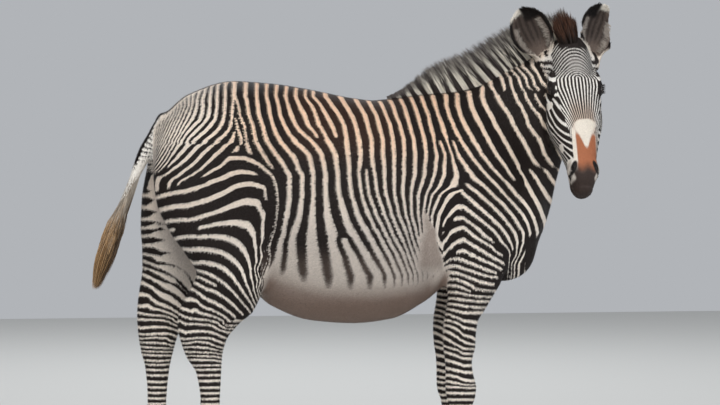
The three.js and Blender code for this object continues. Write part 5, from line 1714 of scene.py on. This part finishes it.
def map_spots(p, places, faces, corners):
    """Each root's place on the skin's map, from the nearest face's middle."""
    middles = places[faces].mean(1)
    near = np.flatnonzero((middles > p.min(0) - 60).all(1) & (middles < p.max(0) + 60).all(1))
    tree = KDTree(len(near))
    for i, k in enumerate(near):
        tree.insert(middles[k], i)
    tree.balance()
    found = near[[tree.find(q)[1] for q in p]]
    return corners[found].mean(1)


LOCK_WIDTHS = [3.0, 3.2, 2.8, 2.2, 1.4, 0]


def locks(foot, way, length, bend, levels):
    """Lines of hair from their feet: the way they set out, how long, and how far they bend."""
    t = np.linspace(0, 1, levels)[None, :, None]
    return foot[:, None] + way[:, None] * length[:, None, None] * t + bend[:, None] * t * t


def grow_mane(skin_parts, material):
    """Upright hair along the crest, striped like the neck below it, with dark grey tips."""
    read = reader(MANE_PATH)
    count = 11000
    at = np.sort(RNG.uniform(0, MANE_PATH[-1][0], count))
    x, y, tall, lean = read(at)
    x0, y0, _, _ = read(at - 6)
    x1, y1, _, _ = read(at + 6)
    z0, z1 = crest_height(x0, y0), crest_height(x1, y1)
    foot = np.stack([x, y, crest_height(x, y)], 1)
    ahead = unit(np.stack([x1 - x0, y1 - y0, z1 - z0], 1))
    side = unit(np.stack([-ahead[:, 1], ahead[:, 0], 0 * x], 1))
    up = unit(np.cross(ahead, side))
    off = RNG.uniform(-1, 1, count)
    half = np.minimum(15.5, 3.5 + tall * 0.38)
    way = unit(up - ahead * lean[:, None] + side * (RNG.normal(0, 0.05, count) - 0.05 * off)[:, None])
    way = unit(way + ahead * RNG.normal(0, 0.07, (count, 1)))
    foot = foot + side * (off * half)[:, None] - up * (6 + 5 * off**2)[:, None]
    clump = 0.05 * np.sin(at / 7.3) + 0.04 * np.sin(at / 3.1 + 1)
    length = (tall * (1 - 0.13 * off**2) + 8) * np.clip(RNG.normal(0.9, 0.1, count) + clump, 0.5, 1.04)
    bend = -ahead * (tall * RNG.uniform(0, 0.1, count))[:, None]
    line = locks(foot, way, length, bend, 6)
    widths = taper(LOCK_WIDTHS, 0.7, 1.3, count)
    turn = RNG.uniform(0, np.pi, count)[:, None]
    broad = unit(side * np.sin(turn) * 0.6 + ahead * np.cos(turn))
    beside = foot + side * (np.sign(off) * 40)[:, None] - up * 16
    labels, weights, _ = markings(beside, side * np.sign(off)[:, None])
    pale = smooth(-0.15, 0.2, stripe_values(labels, weights) + RNG.normal(0, 0.1, count))
    level = np.linspace(0, 1, 6)[None, :]
    tips = level + RNG.normal(0, 0.09, (count, 1)) + 0.25 * smooth(60, 10, tall)[:, None]
    fade = smooth(0.6, 0.98, tips)
    shade = RNG.uniform(0.75, 1.2, (count, 1, 1))
    cream, grey = tint(222, 216, 204), tint(104, 98, 96)
    dark = tint(56, 50, 49) * np.ones((count, 6, 1))
    body = dark * (1 - pale[:, None, None]) + cream * pale[:, None, None]
    colour = (body * (1 - fade[..., None]) + grey * fade[..., None]) * shade
    spots = map_spots(foot, *skin_parts)
    piece = blades("mane_hair", line, broad, widths, colour, spots, material, "long_hair")
    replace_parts(piece, "mane")


def grow_forelock(skin_parts, material):
    """A stiff dark brush that stands between the ears."""
    count = 2600
    foot = at_head(28, -16, -4)
    up, across = unit([-0.3, 0.02, 1]), unit([1, 0, 0.24])
    deep = np.cross(up, across)
    around, out = RNG.uniform(0, 2 * np.pi, count), np.sqrt(RNG.random(count))
    u, v = out * np.cos(around), out * np.sin(around)
    place = foot + across * (u * 25)[:, None] + deep * (v * 13)[:, None] - up * 4
    way = up + across * (u * 0.3)[:, None] + deep * (v * 0.14)[:, None]
    way = unit(way + RNG.normal(0, 0.05, (count, 3)))
    spike = 0.12 * np.sin(around * 5 + 9 * out)
    length = 148 * (1 - 0.28 * out**2) * (RNG.uniform(0.72, 0.95, count) + spike).clip(0.5, 1.0)
    bend = across * (-12 * u)[:, None] + RNG.normal(0, 3, (count, 3))
    line = locks(place, way, length, bend, 6)
    widths = taper(LOCK_WIDTHS, 0.7, 1.3, count)
    turn = RNG.uniform(0, np.pi, count)[:, None]
    broad = unit(across * np.sin(turn) + deep * np.cos(turn))
    shade = RNG.uniform(0.7, 1.3, (count, 1, 1))
    level = np.linspace(0, 1, 6)[None, :, None]
    warm = (RNG.random((count, 1, 1)) < 0.7) * smooth(0.3, 0.8, level)
    colour = (tint(36, 30, 28) * (1 - warm) + tint(86, 60, 48) * warm) * shade
    spots = map_spots(place, *skin_parts)
    piece = blades("forelock_hair", line, broad, widths, colour, spots, material, "long_hair")
    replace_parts(piece, "forelock")


def grow_tail(skin_parts, material):
    """Hair from the lower half of the dock, falling as one loose tuft."""
    count = 5200
    at = 190 + 210 * RNG.random(count) ** 0.7
    reach, half = TAIL_READ(at)
    around = RNG.uniform(0, 2 * np.pi, count)
    out = np.stack([np.cos(around), np.sin(around), 0 * around], 1)
    middle = np.stack([TAIL_ROOT[0] - reach, 0 * at, TAIL_ROOT[2] - at], 1)
    foot = middle + out * (half * 0.8)[:, None]
    down = unit([-0.32, 0, -1])
    end = 612 - 190 * RNG.random(count) ** 1.2
    length = np.maximum(60, (end - at) * 1.04)
    spread = 26 * np.sqrt(RNG.random(count)) * smooth(210, 330, at)
    bow = out * spread[:, None] * 1.1
    t = np.linspace(0, 1, 9)[None, :, None]
    swell = np.sin(np.pi * np.clip(t * 0.95, 0, 1)) * 0.9
    drift = RNG.normal(0, 3.5, (count, 1, 3)) * t * [1, 1, 0.3]
    gather = -out[:, None] * (half * 0.7)[:, None, None] * t**2
    line = foot[:, None] + down * (length[:, None, None] * t) + bow[:, None] * swell + gather + drift
    widths = taper([2.4, 2.8, 2.8, 2.6, 2.4, 2.0, 1.6, 1.0, 0], 0.6, 1.2, count)
    turn = RNG.uniform(0, np.pi, count)[:, None]
    broad = unit(np.cross(out, down) * np.cos(turn) + out * np.sin(turn))
    front = out[:, 0] + 0.35 * RNG.normal(0, 1, count)
    blond, brown, ash = tint(176, 142, 104), tint(58, 46, 40), tint(186, 178, 168)
    hair = blend(blond, brown, 0.85 * smooth(-0.1, 0.7, front))
    top = smooth(0.5, 0.1, t) * 0.9
    colour = hair[:, None, :] * (1 - top) + ash * top
    colour = colour * RNG.uniform(0.65, 1.2, (count, 1, 1))
    spots = map_spots(foot, *skin_parts)
    piece = blades("tail_tuft", line, broad, widths, colour, spots, material, "long_hair")
    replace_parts(piece, "tail_hair")


def grow_ear_hair(skin_parts, material):
    """Grey-brown hairs that lean in from the ears' edges."""
    lines, broads, colours, feet = [], [], [], []
    for ear in EARS.values():
        count = 520
        rise = RNG.uniform(0.16, 0.72, count)
        way = RNG.choice([-1, 1], count)
        half, bend, back, wall = EAR_READ(rise)
        bend = np.radians(bend)
        radius = half * ear["half"] / np.sin(np.minimum(bend, math.pi / 2)) + wall / 2
        angle = way * (bend - RNG.uniform(17, 32, count) / radius)
        inner = radius - wall / 2 + 0.5
        x, y = np.sin(angle) * inner, -np.cos(angle) * inner + (radius - wall / 2 - back)
        foot = ear["base"] + ear["up"] * (rise * EAR_LENGTH)[:, None]
        foot = foot + ear["across"] * x[:, None] + ear["front"] * y[:, None]
        inward = -ear["across"] * np.sin(angle)[:, None] + ear["front"] * np.cos(angle)[:, None]
        round_wall = ear["across"] * np.cos(angle)[:, None] + ear["front"] * np.sin(angle)[:, None]
        set_out = inward * 0.3 - round_wall * way[:, None]
        set_out = unit(set_out + ear["up"] * RNG.uniform(0.1, 0.7, (count, 1)))
        length = RNG.uniform(10, 24, count) * smooth(0.95, 0.6, rise)
        lines.append(locks(foot, set_out, length, inward * 3 + RNG.normal(0, 1.5, (count, 3)), 4))
        broads.append(np.tile(ear["up"], (count, 1)))
        tone = RNG.uniform(0.6, 1.05, (count, 1, 1))
        colours.append(tint(170, 161, 152) * tone * np.ones((count, 4, 1)))
        feet.append(foot)
    line, broad, colour = np.concatenate(lines), np.concatenate(broads), np.concatenate(colours)
    widths = np.tile([1.5, 1.4, 1.0, 0], (len(line), 1))
    spots = map_spots(np.concatenate(feet), *skin_parts)
    blades("ear_hair", line, broad, widths, colour, spots, material, "coat")


# ---------- eyes and hooves ----------


def ball(name, centre, axes, radius, material):
    """An eyeball with a bulging cornea, its pole looking out of the head."""
    rings, sides = 28, 40
    polar = np.linspace(0, np.pi, rings + 1)[1:-1]
    turn = np.arange(sides) / sides * 2 * np.pi
    grown = radius + 1.3 * np.exp(-((polar / 0.5) ** 2))
    w = np.cos(polar)[:, None] * grown[:, None] * np.ones(sides)
    u = np.sin(polar)[:, None] * grown[:, None] * np.cos(turn)
    v = np.sin(polar)[:, None] * grown[:, None] * np.sin(turn)
    rim = np.stack([w, u, v], 2).reshape(-1, 3)
    points = np.concatenate([rim, [[radius + 1.3, 0, 0], [-radius, 0, 0]]])
    faces = []
    for r in range(rings - 2):
        for k in range(sides):
            a, b = r * sides + k, r * sides + (k + 1) % sides
            faces += [[a, a + sides, b + sides], [a, b + sides, b]]
    top, bottom, last = len(rim), len(rim) + 1, (rings - 2) * sides
    for k in range(sides):
        faces += [[top, k, (k + 1) % sides], [bottom, last + (k + 1) % sides, last + k]]
    piece = mesh_object(name, points @ axes + centre, np.array(faces), material)
    add_values(piece, "look_out", np.append(polar.repeat(sides), [0, np.pi]))
    add_values(piece, "look_along", np.append(rim[:, 1] / radius, [0, 0]))
    add_values(piece, "look_up", np.append(rim[:, 2] / radius, [0, 0]))
    return piece


def eye_material():
    """A dark brown iris round a level pupil, under a wet surface."""
    material, tree, shader = new_material("eye_wet", 0.06)
    along, up = named(tree, "look_along", "Fac"), named(tree, "look_up", "Fac")
    inputs = {0: along, 1: maths(tree, "MULTIPLY", up, 2.2)}
    place = node(tree, "ShaderNodeCombineXYZ", inputs).outputs[0]
    size = node(tree, "ShaderNodeVectorMath", {0: place}, operation="LENGTH").outputs["Value"]
    pupil, brown, edge = (0.002, 0.002, 0.003, 1), (0.03, 0.013, 0.007, 1), (0.012, 0.008, 0.007, 1)
    iris = mixed(tree, ramp(tree, size, 0.3, 0.42), pupil, brown)
    rim = ramp(tree, named(tree, "look_out", "Fac"), 0.75, 0.95)
    tree.links.new(mixed(tree, rim, iris, edge), shader.inputs["Base Color"])
    shader.inputs["Coat Weight"].default_value = 1.0
    shader.inputs["Coat Roughness"].default_value = 0.03
    return material


def add_lashes(material, skin_parts):
    """Upper lashes, straight and dark, over each eye."""
    lines, feet, broads = [], [], []
    for side in EYES:
        count = 70
        u = RNG.uniform(-0.85, 0.85, count) * LIDS["long"]
        v = LIDS["above"] * (1 - (u / LIDS["long"]) ** 2) + 1
        w = np.sqrt(np.maximum((EYE_RADIUS + 2.6) ** 2 - u**2 - v**2, 1))
        foot = EYES[side] + np.stack([w, u, v], 1) @ EYE_AXES[side]
        way = np.stack([1 + 0 * u, 0.02 * u, 0.1 + 0 * u], 1) @ EYE_AXES[side]
        way = unit(way + RNG.normal(0, 0.08, (count, 3)))
        drop = np.tile(EYE_AXES[side][2] * -3.5, (count, 1))
        lines.append(locks(foot, way, RNG.uniform(9, 15, count), drop, 4))
        broads.append(np.tile(EYE_AXES[side][1], (count, 1)))
        feet.append(foot)
    line = np.concatenate(lines)
    widths = np.tile([0.9, 0.8, 0.6, 0], (len(line), 1))
    colour = np.ones((len(line), 4, 1)) * BLACK
    spots = map_spots(np.concatenate(feet), *skin_parts)
    blades("lashes", line, np.concatenate(broads), widths, colour, spots, material, "coat")


def hoof_mesh(name, leg, material):
    """A hoof: a wall that widens to the ground, a coronet band, heel bulbs and a flat sole."""
    sides, levels = 96, 22
    turn = np.arange(sides) / sides * 2 * np.pi
    ahead, out = np.cos(turn), np.sin(turn)
    level = np.linspace(0, 1, levels)[:, None]
    top = wall_top(ahead)[None, :]
    shrink = 1 - (1 - HOOF["top"]) * level
    bulbs = 1 - 0.1 * np.exp(-(((turn - np.pi) / 0.16) ** 2))[None, :] * smooth(0, 0.25, level)
    rings = 0.5 * np.sin(level * 46) * smooth(1, 0.85, level)
    x = HOOF["length"] / 2 * shrink * bulbs * ahead - level * top * 0.86 / math.tan(HOOF["slope"])
    flat = np.sign(out) * np.abs(out) ** 0.94
    y = HOOF["width"] / 2 * shrink * flat
    grow = 1 + rings / 60
    z = level * top * np.ones_like(x)
    roll = smooth(0.06, 0, level)  # the ground edge is worn round
    x, y = x * grow * (1 - 0.02 * roll), y * grow * (1 - 0.02 * roll)
    centre = np.array([leg["fetlock"] + HOOF_AHEAD, leg["side"] * leg["rows"][0][5], 0])
    points = np.stack([x, y, z], 2).reshape(-1, 3)
    lid = [points[-sides:].mean(0) + [0, 0, 5]]
    inner = points[:sides] * [0.6, 0.6, 1] + [0, 0, 2.5]
    sole = [[0, 0, 2.5]]
    points = np.concatenate([points, lid, inner, sole]) + centre
    faces = []
    lid_at, inner_at, sole_at = sides * levels, sides * levels + 1, sides * levels + 1 + sides
    for k in range(sides):
        n = (k + 1) % sides
        for r in range(levels - 1):
            a, b = r * sides + k, r * sides + n
            faces += [[a, b, b + sides], [a, b + sides, a + sides]]
        a, b = (levels - 1) * sides + k, (levels - 1) * sides + n
        faces.append([a, b, lid_at])
        faces += [[n, k, inner_at + k], [n, inner_at + k, inner_at + n]]
        faces.append([inner_at + n, inner_at + k, sole_at])
    piece = mesh_object(name, points, np.array(faces), material)
    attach(piece, "root")
    return piece


def hoof_material():
    material, tree, shader = new_material("hoof_horn", 0.5)
    fibre = grain(tree, (60.0, 60.0, 4.0), 3.0, 4.0)
    band = grain(tree, (1.0, 1.0, 26.0), 5.0, 2.0)
    horn = maths(tree, "MULTIPLY", fibre, band)
    darker, paler = (0.022, 0.019, 0.018, 1), (0.085, 0.075, 0.066, 1)
    colour = mixed(tree, ramp(tree, horn, 0.12, 0.4), darker, paler)
    tree.links.new(colour, shader.inputs["Base Color"])
    add_bump(tree, shader, horn, 0.0015, 0.5)
    return material


# ---------- putting it together ----------

add_camera()
add_stage()
places, faces = build_skin()
normals = vertex_normals(places, faces)
skin = mesh_object("skin", places, faces, skin_material())
add_markings(skin, places, normals)
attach(skin, "root")
SEPARATE = ("eye", "hoof", "mane", "forelock", "tail_hair")
flesh_nodes = [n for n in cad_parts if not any(word in n for word in SEPARATE)]
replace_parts(skin, *flesh_nodes)
corners = unwrap(skin)
skin_parts = (places, faces, corners)

coat_hair, long_hair = hair_material("coat_tufts", 0.7), hair_material("long_hair_tufts", 0.6)
grow_coat(places, faces, normals, corners, coat_hair)
grow_mane(skin_parts, long_hair)
grow_forelock(skin_parts, long_hair)
grow_tail(skin_parts, long_hair)
grow_ear_hair(skin_parts, coat_hair)
add_lashes(coat_hair, skin_parts)

wet = eye_material()
for side, name in ((RIGHT, "eye_right"), (LEFT, "eye_left")):
    eye = ball(name + "_ball", EYES[side], EYE_AXES[side], EYE_RADIUS - 0.5, wet)
    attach(eye, "root")
    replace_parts(eye, name)
horn = hoof_material()
for name, leg in LEGS.items():
    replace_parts(hoof_mesh(name + "_horn", leg, horn), name + "_hoof")
